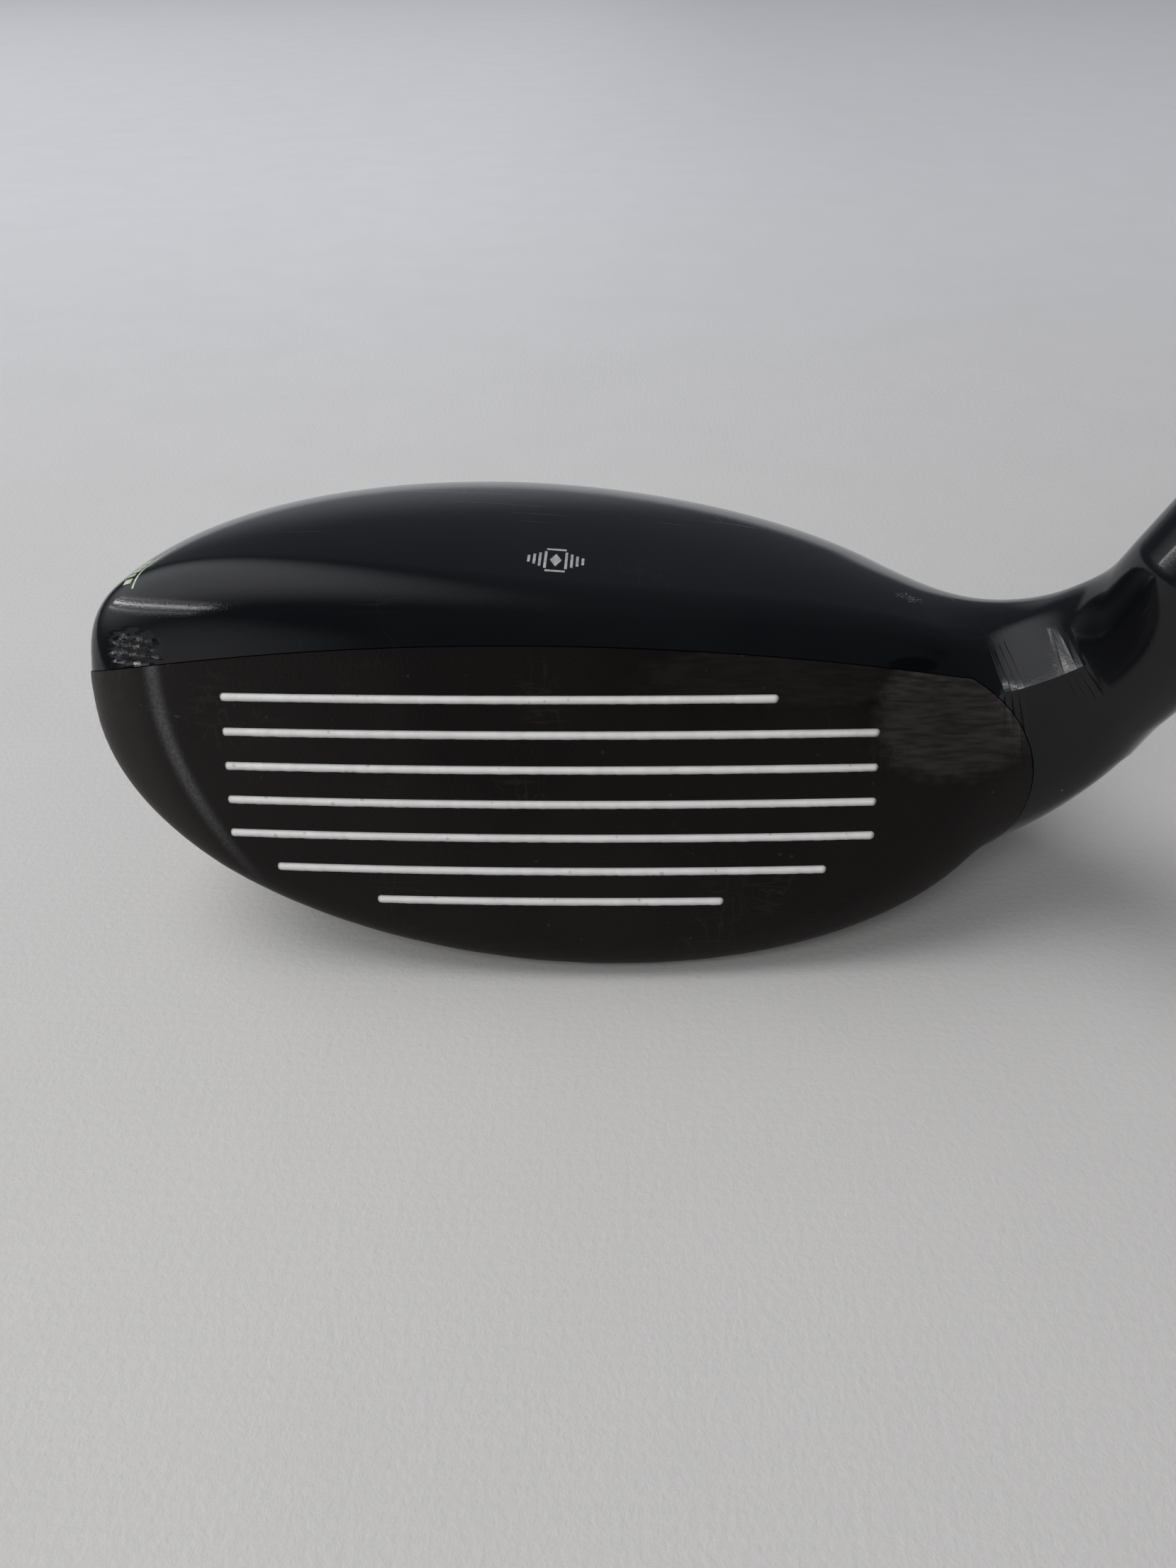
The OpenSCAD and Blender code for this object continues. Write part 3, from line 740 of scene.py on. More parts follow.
worn = math_node(tree, "MAXIMUM", marks, math_node(tree, "MAXIMUM", rubbed, light_dots))
rough = spread(tree, tone.outputs["Broad"], 0.06, 0.11)
worn_rougher = math_node(tree, "MULTIPLY", worn, 0.25)
join(tree, math_node(tree, "ADD", rough, worn_rougher, clamp=True), shader.inputs["Roughness"])
wrinkles = node(tree, "ShaderNodeTexNoise", in_Scale=1300.0, in_Detail=3.0, in_Distortion=1.2)
join(tree, place, wrinkles.inputs["Vector"])
peel = math_node(tree, "MULTIPLY", tone.outputs["Fine"], 0.02)
buckled = math_node(tree, "MULTIPLY", knock.outputs["Mask"], 0.5)
buckled = math_node(tree, "MULTIPLY", wrinkles.outputs["Fac"], buckled)
height = math_node(tree, "ADD", peel, buckled)
height = math_node(tree, "SUBTRACT", height, math_node(tree, "MULTIPLY", worn, 0.1))
raise_by(tree, shader, height, 0.0003)

dress(shell, head_paint)
finish_piece(shell, "club", "head_paint", "head_body", "crown")

# %% [markdown]
# ## The face cup
#
# The face is a separate forged cup, blasted to a matt brown-black, and it wraps a little round the
# toe and under the sole. It is cut from the same skin, 0.05 mm proud, and the shell's opening is
# 0.1 mm wider, so a thin real seam shows between the cup and the gloss paint. The score lines are
# milled into it.

# %% Score line sizes
line_pitch, line_w, line_depth = 3.5, 0.9, 0.35
line_half, top_line_end, low_line_half, last_line_half = 32.7, 22.6, 28.0, 17.7
last_line_lift = 0.25
score_lines = [(3 * line_pitch, -line_half, top_line_end)]
score_lines += [(i * line_pitch, -line_half, line_half) for i in (2, 1, 0, -1)]
score_lines += [(-2 * line_pitch, -low_line_half, low_line_half)]
score_lines += [(last_line_lift - 3 * line_pitch, -last_line_half, last_line_half)]


def face_sag(x, s):
    """Depth of the bulged and rolled face behind its middle's plane."""
    return -x * x / (2 * bulge_r) - s * s / (2 * roll_r)


def groove(name, s, start, end):
    """A cutter with round ends that follows the face and stands over it."""
    steps_round, steps_along, over = 8, 38, 1.0
    half, turns = line_w / 2, np.radians(np.linspace(85, 0, steps_round))
    along = [start + half * (1 - math.sin(a)) for a in turns]
    width = [half * math.cos(a) for a in turns]
    along += list(np.linspace(start + half, end - half, steps_along + 2)[1:-1])
    width += [half] * steps_along
    along += [end - half * (1 - math.sin(a)) for a in turns[::-1]]
    width += width[:steps_round][::-1]
    points, faces = [], [(0, 3, 2, 1)]
    for x, w in zip(along, width):
        low, high = face_sag(x, s) - line_depth, over
        points += [(x, s - w, low), (x, s + w, low), (x, s + w, high), (x, s - w, high)]
    for i in range(0, len(points) - 4, 4):
        for j in range(4):
            n = (j + 1) % 4
            faces.append((i + j, i + n, i + 4 + n, i + 4 + j))
    last = len(points) - 4
    faces.append((last, last + 1, last + 2, last + 3))
    mesh = bpy.data.meshes.new(name)
    mesh.from_pydata(points, [], faces)
    turn_outwards(mesh)
    mesh.transform(face_to_head)
    return add_object(name, mesh)


# %% The cup
proud = 0.05
cup_skin = find_skin(origins, directions, proud)
cup = add_object("face_cup", rings_to_mesh("face_cup", cup_skin))
turn_outwards(cup.data)
carve(cup, face_block("face_block"), "INTERSECT")
for number, (s, start, end) in enumerate(score_lines):
    carve(cup, groove(f"groove_{number}", s, start, end))
print("corners with the skin's own normal:", shade_by_skin(cup.data, proud))
cup.data.transform(head_to_row)

# %% [markdown]
# ## The matt face
#
# Blasting leaves a fine grain. Play wears it: balls polish the middle, grass and sand draw short strokes that
# run from the sole to the top line, and the top edge and the heel end rub against other clubs. Those two
# places are painted lighter and browner: rubbed wear, and a painted sheen as well.

# %% Matt face finish
face_finish, tree, shader, place = new_finish("face_finish", Roughness=0.5, IOR=1.32)
tone = use(tree, drift, place, Broad=60.0, Fine=3800.0)
cross = use(tree, hairlines, place, Turn=(0.0, 0.5, 0.0), Stretch=(1.0, 1.0, 0.16), Scale=700.0,
            Width=0.03, Amount=0.8)
along = use(tree, hairlines, place, Turn=(0.0, -0.12, 0.0), Stretch=(0.1, 1.0, 1.0), Scale=520.0,
            Width=0.02, Amount=0.7)
pits = use(tree, specks, place, Scale=900.0, Size=0.16, Share=0.12)
heel_rub_sheen = use(tree, patch, place, Centre=row_point(40.0, 3.0, 25.0), Raggedness=0.35, Scale=900.0,
               Half_size=(0.0085, 0.012, 0.0065))
top_rub_sheen = use(tree, patch, place, Centre=row_point(26.0, 4.0, 29.5), Raggedness=0.5, Scale=900.0,
              Half_size=(0.019, 0.006, 0.0032))

clouds = ramp(tree, tone.outputs["Broad"], 0.35, 0.65)
metal = blend_colour(tree, clouds, (0.0044, 0.0030, 0.0024), (0.0070, 0.0050, 0.0042))
# The heel end and the top edge are painted lighter: rubbed wear, and a painted sheen too.
heel_share = math_node(tree, "MULTIPLY", heel_rub_sheen.outputs["Mask"], 0.55)
top_share = math_node(tree, "MULTIPLY", top_rub_sheen.outputs["Mask"], 0.15)
rub_and_painted_sheen = math_node(tree, "ADD", heel_share, top_share, clamp=True)
streaks = node(tree, "ShaderNodeMapping", in_Rotation=(0.0, 0.5, 0.0), in_Scale=(0.12, 1.0, 1.0))
join(tree, place, streaks.inputs["Vector"])
brushed = node(tree, "ShaderNodeTexNoise", in_Scale=2400.0, in_Detail=3.0)
join(tree, streaks.outputs[0], brushed.inputs["Vector"])
streaked = ramp(tree, brushed.outputs["Fac"], 0.30, 0.72, 0.35, 1.0)
rub_and_painted_sheen = math_node(tree, "MULTIPLY", rub_and_painted_sheen, streaked)
metal = blend_colour(tree, rub_and_painted_sheen, metal, (0.062, 0.056, 0.050))
drawn = math_node(tree, "MAXIMUM", cross.outputs["Mask"], along.outputs["Mask"])
drawn = math_node(tree, "MULTIPLY", drawn, ramp(tree, rub_and_painted_sheen, 0.0, 0.4, 0.25, 1.0))
metal = blend_colour(tree, drawn, metal, (0.10, 0.088, 0.078), 0.5)
metal = blend_colour(tree, pits.outputs["Mask"], metal, (0.07, 0.065, 0.06), 0.3)
# A painted highlight follows a curved line on the roll at the toe, with a lower roughness there; the line
# starts at roll_top and bows towards the heel as it goes down. Past it, towards the toe, the whole rim is a
# little lighter.
roll_top, roll_x, roll_bow = 30.5, -39.7, 22.0
glint_core, glint_edge, fade_from, fade_to = 0.0001, 0.0016, 0.010, 0.024
rim_full, rim_start = -0.0045, -0.0005
spot = node(tree, "ShaderNodeSeparateXYZ")
join(tree, place, spot.inputs[0])
low = math_node(tree, "SUBTRACT", row_point(0, 0, roll_top)[2], spot.outputs["Z"])
bow = math_node(tree, "MULTIPLY", math_node(tree, "MULTIPLY", low, low), roll_bow)
line_x = math_node(tree, "ADD", bow, row_point(roll_x, 0, 0)[0])
off = math_node(tree, "SUBTRACT", spot.outputs["X"], line_x)
near = ramp(tree, math_node(tree, "ABSOLUTE", off), glint_core, glint_edge, 1.0, 0.0)
painted_toe_highlight = math_node(tree, "MULTIPLY", math_node(tree, "MULTIPLY", near, near),
                    ramp(tree, low, fade_from, fade_to, 1.0, 0.0))
uneven = ramp(tree, tone.outputs["Fine"], 0.35, 0.65, 0.55, 1.0)
painted_toe_highlight = math_node(tree, "MULTIPLY", painted_toe_highlight, uneven)
metal = blend_colour(tree, painted_toe_highlight, metal, (0.088, 0.089, 0.094), 0.8)
beyond = ramp(tree, off, rim_full, rim_start, 1.0, 0.0)
metal = blend_colour(tree, beyond, metal, (0.024, 0.021, 0.019), 0.5)
join(tree, metal, shader.inputs["Base Color"])
rough = spread(tree, tone.outputs["Broad"], 0.36, 0.44)
# The roughness is lower under the painted sheen and the painted highlight.
worn = math_node(tree, "MAXIMUM", rub_and_painted_sheen, painted_toe_highlight)
worn_smoother = math_node(tree, "MULTIPLY", worn, 0.12)
join(tree, math_node(tree, "SUBTRACT", rough, worn_smoother), shader.inputs["Roughness"])
grain = math_node(tree, "MULTIPLY", tone.outputs["Fine"], 0.35)
scratched = math_node(tree, "MULTIPLY", drawn, -0.25)
raise_by(tree, shader, math_node(tree, "ADD", grain, scratched), 0.00008)

dress(cup, face_finish)
finish_piece(cup, "club", "face_finish", "face_plate")

# %% [markdown]
# ## White paint in the score lines
#
# The score lines are one thing repeated: a bar of paint with round ends that follows the curved
# face. Geometry Nodes suit that. The tree takes straight edges in the face's plane, bends them to
# the bulge and the roll, and sweeps a small section along them whose width closes at both ends.

# %% Geometry Nodes helpers
def new_tree(name, inputs):
    tree = bpy.data.node_groups.new(name, "GeometryNodeTree")
    tree.interface.new_socket("Geometry", in_out="INPUT", socket_type="NodeSocketGeometry")
    for label, kind, value in inputs:
        socket = tree.interface.new_socket(label, in_out="INPUT", socket_type=kind)
        if value is not None:
            socket.default_value = value
    tree.interface.new_socket("Geometry", in_out="OUTPUT", socket_type="NodeSocketGeometry")
    return tree, tree.nodes.new("NodeGroupInput"), tree.nodes.new("NodeGroupOutput")


def grow(obj, tree, **values):
    """Runs a tree on an object and keeps the result as a plain mesh."""
    step = obj.modifiers.new("grow", "NODES")
    step.node_group = tree
    for item in tree.interface.items_tree:
        label = item.name.replace(" ", "_")
        if item.in_out == "INPUT" and label in values:
            step[item.identifier] = values[label]
    made = bpy.data.meshes.new_from_object(
        obj.evaluated_get(bpy.context.evaluated_depsgraph_get())
    )
    obj.modifiers.clear()
    obj.data = made
    return obj


def end_tree(tree, geometry, material_socket, g_out):
    """Every tree ends the same way: real geometry, then its material."""
    real = tree.nodes.new("GeometryNodeRealizeInstances")
    dressed = tree.nodes.new("GeometryNodeSetMaterial")
    join(tree, geometry, real.inputs[0])
    join(tree, real.outputs[0], dressed.inputs["Geometry"])
    join(tree, material_socket, dressed.inputs["Material"])
    join(tree, dressed.outputs[0], g_out.inputs[0])


# %% White line paint
line_paint, tree, shader, place = new_finish("line_paint", Roughness=0.42, IOR=1.45)
tone = use(tree, drift, place, Broad=420.0, Fine=4200.0)
grime = use(tree, specks, place, Scale=1300.0, Size=0.3, Share=0.16)
white = blend_colour(tree, spread(tree, tone.outputs["Broad"]), (0.88, 0.87, 0.85), (0.95, 0.95, 0.93))
white = blend_colour(tree, grime.outputs["Mask"], white, (0.25, 0.23, 0.2), 0.35)
join(tree, white, shader.inputs["Base Color"])
join(tree, spread(tree, tone.outputs["Fine"], 0.34, 0.5), shader.inputs["Roughness"])
raise_by(tree, shader, tone.outputs["Broad"], 0.00006)

# %% The tree that fills score lines
fill, g_in, g_out = new_tree("fill_score_lines", [
    ("Width", "NodeSocketFloat", 0.9), ("Depth", "NodeSocketFloat", 0.3),
    ("Bulge", "NodeSocketFloat", 320.0), ("Roll", "NodeSocketFloat", 300.0),
    ("Sink", "NodeSocketFloat", 0.04), ("Step", "NodeSocketFloat", 0.12),
    ("Seed", "NodeSocketFloat", 3.0), ("Paint", "NodeSocketMaterial", None),
])
curve = fill.nodes.new("GeometryNodeMeshToCurve")
join(fill, g_in.outputs["Geometry"], curve.inputs[0])
dense = node(fill, "GeometryNodeResampleCurve", mode="LENGTH")
join(fill, curve.outputs[0], dense.inputs["Curve"])
join(fill, g_in.outputs["Step"], dense.inputs["Length"])
spot = fill.nodes.new("GeometryNodeInputPosition")
parts = fill.nodes.new("ShaderNodeSeparateXYZ")
join(fill, spot.outputs[0], parts.inputs[0])
sag = None
for axis, label in (("X", "Bulge"), ("Y", "Roll")):
    square = math_node(fill, "MULTIPLY", parts.outputs[axis], parts.outputs[axis])
    term = math_node(fill, "DIVIDE", square, math_node(fill, "MULTIPLY", g_in.outputs[label], -2.0))
    sag = term if sag is None else math_node(fill, "ADD", sag, term)
half_depth = math_node(fill, "MULTIPLY", g_in.outputs["Depth"], 0.5)
below = math_node(fill, "ADD", g_in.outputs["Sink"], half_depth)
offset = fill.nodes.new("ShaderNodeCombineXYZ")
join(fill, math_node(fill, "SUBTRACT", sag, below), offset.inputs["Z"])
bent = fill.nodes.new("GeometryNodeSetPosition")
join(fill, dense.outputs[0], bent.inputs["Geometry"])
join(fill, offset.outputs[0], bent.inputs["Offset"])
level = node(fill, "GeometryNodeSetCurveNormal", mode="Z_UP")
join(fill, bent.outputs[0], level.inputs[0])
along_line = fill.nodes.new("GeometryNodeSplineParameter")
whole_line = fill.nodes.new("GeometryNodeSplineLength")
left_over = math_node(fill, "SUBTRACT", whole_line.outputs["Length"], along_line.outputs["Length"])
to_end = math_node(fill, "MINIMUM", along_line.outputs["Length"], left_over)
half_width = math_node(fill, "MULTIPLY", g_in.outputs["Width"], 0.5)
in_half_widths = math_node(fill, "DIVIDE", to_end, half_width)
closing = math_node(fill, "SUBTRACT", 1.0, in_half_widths, clamp=True)
# A little more than 1 keeps the very end of the bar from closing to a point.
squared = math_node(fill, "MULTIPLY", closing, closing)
closed = math_node(fill, "SQRT", math_node(fill, "SUBTRACT", 1.02, squared))
waver = node(fill, "ShaderNodeTexNoise", noise_dimensions="4D", in_Scale=1.1, in_Detail=2.0)
join(fill, spot.outputs[0], waver.inputs["Vector"])
join(fill, g_in.outputs["Seed"], waver.inputs["W"])
narrowest = 0.90
wavered = math_node(fill, "MULTIPLY", closed, spread(fill, waver.outputs["Fac"], narrowest, 1.0))
section = fill.nodes.new("GeometryNodeCurvePrimitiveQuadrilateral")
join(fill, g_in.outputs["Width"], section.inputs["Width"])
join(fill, g_in.outputs["Depth"], section.inputs["Height"])
sweep = fill.nodes.new("GeometryNodeCurveToMesh")
join(fill, level.outputs[0], sweep.inputs["Curve"])
join(fill, section.outputs[0], sweep.inputs["Profile Curve"])
sweep.inputs["Fill Caps"].default_value = True
join(fill, wavered, sweep.inputs["Scale"])
end_tree(fill, sweep.outputs[0], g_in.outputs["Paint"], g_out)

# %% Fill the score lines
paint_play, paint_depth = 0.02, 0.3
edges = bpy.data.meshes.new("line_paint")
ends = [(x, s, 0) for s, start, end in score_lines for x in (start + paint_play, end - paint_play)]
edges.from_pydata(ends, [(2 * i, 2 * i + 1) for i in range(len(score_lines))], [])
paint_bars = grow(add_object("score_paint", edges), fill, Width=line_w - 0.03, Depth=paint_depth,
                  Bulge=bulge_r, Roll=roll_r, Paint=line_paint)
turn_outwards(paint_bars.data)
paint_bars.data.transform(head_to_row @ face_to_head)
finish_piece(paint_bars, "club", "line_paint", *[f"score_line_{i + 1}" for i in range(len(score_lines))])

# %% [markdown]
# ## Marks on the crown
#
# A small light mark in the middle of the crown helps a player to aim, and a short run of pale green
# marks decorates the toe. Both are pad printed: a film of paint a few hundredths of a millimetre
# thick. Here each one is a thin closed tile laid on the skin, which the eye reads as print. The
# designs are plain ones: a ring of bars round a diamond, and dashes beside a line.

# %% Print laid on the skin
film, bite, tile_steps, over_crown = 0.012, 0.03, 5, 18.0


def tile_points(corners):
    """Points inside a four-cornered tile, as a grid of (x, y) places seen from above."""
    a, b, c, d = (np.array(p, float) for p in corners)
    grid = []
    for v in np.linspace(0, 1, tile_steps):
        left, right = a + (d - a) * v, b + (c - b) * v
        grid += [left + (right - left) * u for u in np.linspace(0, 1, tile_steps)]
    return np.array(grid)


def print_tiles(name, tiles):
    """One mesh of thin closed tiles on the crown."""
    n, under = tile_steps, tile_steps * tile_steps
    points, faces = [], []
    for corners in tiles:
        flat = tile_points(corners)
        start = np.column_stack([flat, np.full(len(flat), over_crown)])
        on = find_skin(start, np.tile([0.0, 0, 1], (len(flat), 1)))
        normal = skin_normals(on)
        base = len(points)
        points += list(on + normal * film) + list(on - normal * bite)
        for i in range(n - 1):
            for j in range(n - 1):
                q = tuple(base + k for k in (i * n + j, i * n + j + 1, (i + 1) * n + j + 1, (i + 1) * n + j))
                faces += [q, tuple(k + under for k in q[::-1])]
        rim = list(range(n)) + [i * n + n - 1 for i in range(1, n)]
        rim += [(n - 1) * n + j for j in range(n - 2, -1, -1)] + [i * n for i in range(n - 2, 0, -1)]
        for a, b in zip(rim, rim[1:] + rim[:1]):
            faces.append((base + b, base + a, base + a + under, base + b + under))
    mesh = bpy.data.meshes.new(name)
    mesh.from_pydata([tuple(p) for p in points], [], faces)
    turn_outwards(mesh)
    mesh.polygons.foreach_set("use_smooth", np.ones(len(mesh.polygons), bool))
    mesh.set_sharp_from_angle(angle=math.radians(40))
    mesh.transform(head_to_row)
    return add_object(name, mesh)


def bar(centre, length, width, angle):
    """A tile of a given length and width, turned by an angle."""
    u = np.array([math.cos(angle), math.sin(angle)]) * length / 2
    v = np.array([-math.sin(angle), math.cos(angle)]) * width / 2
    c = np.array(centre)
    return [c - u - v, c + u - v, c + u + v, c - u + v]


# %% Print finishes
def print_finish(name, low, high):
    material, tree, shader, place = new_finish(name, Roughness=0.33)
    tone = use(tree, drift, place, Broad=900.0, Fine=5000.0)
    rubbed = use(tree, specks, place, Scale=3000.0, Size=0.45, Share=0.2)
    ink = blend_colour(tree, spread(tree, tone.outputs["Broad"]), low, high)
    ink = blend_colour(tree, rubbed.outputs["Mask"], ink, (0.03, 0.03, 0.03), 0.5)
    join(tree, ink, shader.inputs["Base Color"])
    join(tree, spread(tree, tone.outputs["Fine"], 0.26, 0.42), shader.inputs["Roughness"])
    raise_by(tree, shader, tone.outputs["Fine"], 0.00002)
    return material


crown_print = print_finish("crown_print", (0.34, 0.34, 0.35), (0.55, 0.55, 0.55))
toe_print = print_finish("toe_print", (0.34, 0.44, 0.27), (0.60, 0.68, 0.50))

# %% Lay the marks
aim = np.array([0.6, 14.4])
end_bar_at, end_bar_long, end_bar_wide = 2.3, 2.0, 0.36
first_bar_at, bar_step, bar_long, bar_shorter, bar_wide = 1.05, 0.56, 3.6, 0.72, 0.27
diamond_x, diamond_y = 0.6, 1.35
tiles = [
    bar(aim + np.array([0, end_bar_at]) * end, end_bar_long, end_bar_wide, 0.0) for end in (-1, 1)
]
for side in (-1, 1):
    for k in range(4):
        centre = aim + np.array([side * (first_bar_at + bar_step * k), 0.0])
        tiles.append(bar(centre, bar_long - bar_shorter * k, bar_wide, math.pi / 2))
diamond = ((0, -diamond_y), (diamond_x, 0), (0, diamond_y), (-diamond_x, 0))
tiles.append([aim + np.array(p) for p in diamond])
crown_mark = print_tiles("crown_mark", tiles)
dress(crown_mark, crown_print)
finish_piece(crown_mark, "club", "line_paint")

# A bowed line in eight short bars, and five dashes on its outer side.
toe_tiles = []
line_wide, overlap = 0.24, 0.02
dash_out, dash_up, dash_long, dash_turn = 0.95, 0.35, 0.95, math.radians(165)
sweep_line = [(-41.9 + 0.9 * t + 1.7 * t * t, 10.9 + 6.8 * t) for t in np.linspace(0, 1, 9)]
for (ax, ay), (bx, by) in zip(sweep_line, sweep_line[1:]):
    middle, reach = ((ax + bx) / 2, (ay + by) / 2), math.hypot(bx - ax, by - ay)
    toe_tiles.append(bar(middle, reach + overlap, line_wide, math.atan2(by - ay, bx - ax)))
for (x, y), dash_wide in zip(sweep_line[1:], (0.62, 0.42, 0.62, 0.42, 0.62)):
    toe_tiles.append(bar((x - dash_out, y + dash_up), dash_long, dash_wide, dash_turn))
toe_marks = print_tiles("toe_marks", toe_tiles)
dress(toe_marks, toe_print)
finish_piece(toe_marks, "club", "line_paint")

# %% [markdown]
# ## Turned parts on the shaft axis
#
# The trim ring, the ferrule, the shaft and the grip are all turned shapes, so one helper spins a
# profile into a closed mesh. Their profiles have the bevels and grooves that a lathe, a mould or a
# grinding belt leaves, which a plain CAD cylinder doesn't show.

# %% Stations along the shaft
ring_t, ferrule_len = 1.0, 20.0
ferrule_start = hosel_top + ring_t
plug_room, tip_straight = 4.5, 110.0
shaft_start = hosel_top - bore_depth + plug_room
taper_start = shaft_start + tip_straight
club_length, cap_t, grip_len = 1016.0, 5.0, 262.0
cap_start = club_length - cap_t
grip_start = cap_start - grip_len
butt_r, shaft_wall, tape_t = 7.6, 1.3, 0.25


def shaft_radius(d):
    along = (d - taper_start) / (cap_start - taper_start)
    return tip_r + (butt_r - tip_r) * min(max(along, 0), 1)


# %% Trim ring
bore = tip_r + 0.06
ring_top, ring_bevel = hosel_top + ring_t, 0.22
ring_profile = rounded(
    [(bore, hosel_top), (hosel_r, hosel_top), (hosel_r, ring_top), (bore, ring_top)],
    [0, ring_bevel, ring_bevel, 0],
)
trim_ring = turned("trim_ring", ring_profile, 128)
trim_metal, tree, shader, place = new_finish("trim_metal", Metallic=1.0, Roughness=0.2)
tone = use(tree, drift, place, Broad=300.0, Fine=4000.0)
lathe_lines = use(tree, hairlines, place, Turn=(0.0, math.radians(-30), 0.0), Stretch=(0.1, 0.1, 1.0),
                  Scale=2200.0, Width=0.06, Amount=0.8)
clouds = spread(tree, tone.outputs["Broad"])
silver = blend_colour(tree, clouds, (0.56, 0.56, 0.57), (0.68, 0.68, 0.69))
silver = blend_colour(tree, lathe_lines.outputs["Mask"], silver, (0.35, 0.35, 0.36))
join(tree, silver, shader.inputs["Base Color"])
join(tree, spread(tree, tone.outputs["Fine"], 0.16, 0.3), shader.inputs["Roughness"])
raise_by(tree, shader, lathe_lines.outputs["Mask"], 0.00002)
dress(trim_ring, trim_metal)
finish_piece(trim_ring, "club", "trim_ring", "ferrule_ring")

# %% Ferrule
# The ferrule is black plastic with two fine grooves, ground flush with the hosel.
profile = [(bore, ferrule_start), (hosel_r, ferrule_start)]
bevels = [0, 0.15]
groove_bottom = hosel_r - 0.3
for groove_at in (2.2, 4.2):
    d = ferrule_start + groove_at
    profile += [(hosel_r, d), (groove_bottom, d + 0.12), (groove_bottom, d + 0.4), (hosel_r, d + 0.52)]
    bevels += [0.06, 0.05, 0.05, 0.06]
cone_from, lip = 0.25, 0.5
for t in np.linspace(cone_from, 1, 12):
    fall = (hosel_r - tip_r - lip) * (t - cone_from) / (1 - cone_from)
    profile.append((hosel_r - fall, ferrule_start + ferrule_len * t))
    bevels.append(0)
bevels[-1] = 0.3
profile.append((bore, ferrule_start + ferrule_len))
bevels.append(0)
ferrule = turned("ferrule_sleeve", rounded(profile, bevels), 112)
ferrule_plastic, tree, shader, place = new_finish("ferrule_plastic", Roughness=0.22, IOR=1.49)
tone = use(tree, drift, place, Broad=150.0, Fine=3500.0)
scuffs = use(tree, hairlines, place, Turn=(0.4, 0.2, 0.1), Stretch=(1, 0.2, 1), Scale=420.0, Width=0.012,
             Amount=0.7)
clouds = spread(tree, tone.outputs["Broad"])
black = blend_colour(tree, clouds, (0.005, 0.005, 0.006), (0.011, 0.011, 0.012))
black = blend_colour(tree, scuffs.outputs["Mask"], black, (0.12, 0.12, 0.12), 0.4)
join(tree, black, shader.inputs["Base Color"])
join(tree, spread(tree, tone.outputs["Fine"], 0.17, 0.32), shader.inputs["Roughness"])
raise_by(tree, shader, tone.outputs["Fine"], 0.00002)
dress(ferrule, ferrule_plastic)
finish_piece(ferrule, "club", "ferrule_plastic", "ferrule")

# %% Shaft
# The tube keeps its real wall. Its outside is straight at the tip and then tapers to the butt. The
# carbon is wound, so fine ribs run round it, and a printed band sits half way up.
stations = [shaft_start] + list(np.linspace(shaft_start + 2, taper_start, 8))
stations += list(np.linspace(taper_start, cap_start, 40)[1:])
outside = [(shaft_radius(d), d) for d in stations]
inside = [(shaft_radius(d) - shaft_wall, d) for d in stations[::-4] + [shaft_start]]
shaft = turned("shaft_tube", outside + inside, 96)
graphite, tree, shader, place = new_finish(
    "graphite", Roughness=0.2, IOR=1.5, Coat_Weight=0.6, Coat_Roughness=0.04
)
upright = lie - math.pi / 2
centred = node(tree, "ShaderNodeMapping", in_Rotation=(0, upright, 0))
join(tree, place, centred.inputs["Vector"])
axis_point = Matrix.Rotation(upright, 3, "Y") @ (axis_to_row @ Vector((0, 0, 0)))
centred.inputs["Location"].default_value = tuple(-c for c in axis_point)
along_axis = node(tree, "ShaderNodeSeparateXYZ")
join(tree, centred.outputs[0], along_axis.inputs[0])
angle_round = math_node(tree, "ARCTAN2", along_axis.outputs["Y"], along_axis.outputs["X"])
tone = use(tree, drift, place, Broad=45.0, Fine=3000.0)
ribs_along, ribs_round = 900.0, 2.0
wound = math_node(tree, "ADD", math_node(tree, "MULTIPLY", along_axis.outputs["Z"], ribs_along),
                  math_node(tree, "MULTIPLY", angle_round, ribs_round))
ribs = ramp(tree, math_node(tree, "SINE", wound), -1.0, 1.0)
clouds = ramp(tree, tone.outputs["Broad"], 0.35, 0.65)
tint = blend_colour(tree, clouds, (0.010, 0.011, 0.013), (0.02, 0.021, 0.024))
tint = blend_colour(tree, ribs, tint, (0.035, 0.036, 0.04), 0.25)


def band_between(low, high, edge=0.00025):
    rise = ramp(tree, along_axis.outputs["Z"], low - edge, low + edge)
    fall = ramp(tree, along_axis.outputs["Z"], high - edge, high + edge, 1.0, 0.0)
    return math_node(tree, "MULTIPLY", rise, fall)


grey, green, silver = (0.14, 0.145, 0.15), (0.36, 0.46, 0.28), (0.5, 0.5, 0.5)
printed_bands = (
    # metres along the axis, colour
    (0.560, 0.618, grey), (0.622, 0.6245, green), (0.552, 0.5545, green), (0.629, 0.630, silver),
)
for low, high, colour in printed_bands:
    tint = blend_colour(tree, band_between(low, high), tint, colour)
nicks = use(tree, hairlines, place, Turn=(0, math.radians(-30), 0), Stretch=(1, 1, 0.2), Scale=300.0,
            Width=0.01, Amount=0.7)
tint = blend_colour(tree, nicks.outputs["Mask"], tint, (0.2, 0.2, 0.2), 0.35)
join(tree, tint, shader.inputs["Base Color"])
join(tree, spread(tree, tone.outputs["Fine"], 0.16, 0.26), shader.inputs["Roughness"])
raise_by(tree, shader, ribs, 0.00001)
dress(shaft, graphite)
finish_piece(shaft, "club", "graphite", "shaft")

# %% [markdown]
# ## The grip
#
# A rubber grip is moulded with a raised pattern that lets water run off and keeps the hands from
# slipping. The body is turned, with rings at the mouth and a rim at the butt. The pattern is one
# small pip repeated in staggered rows, so a Geometry Nodes tree lays it out on the taper.

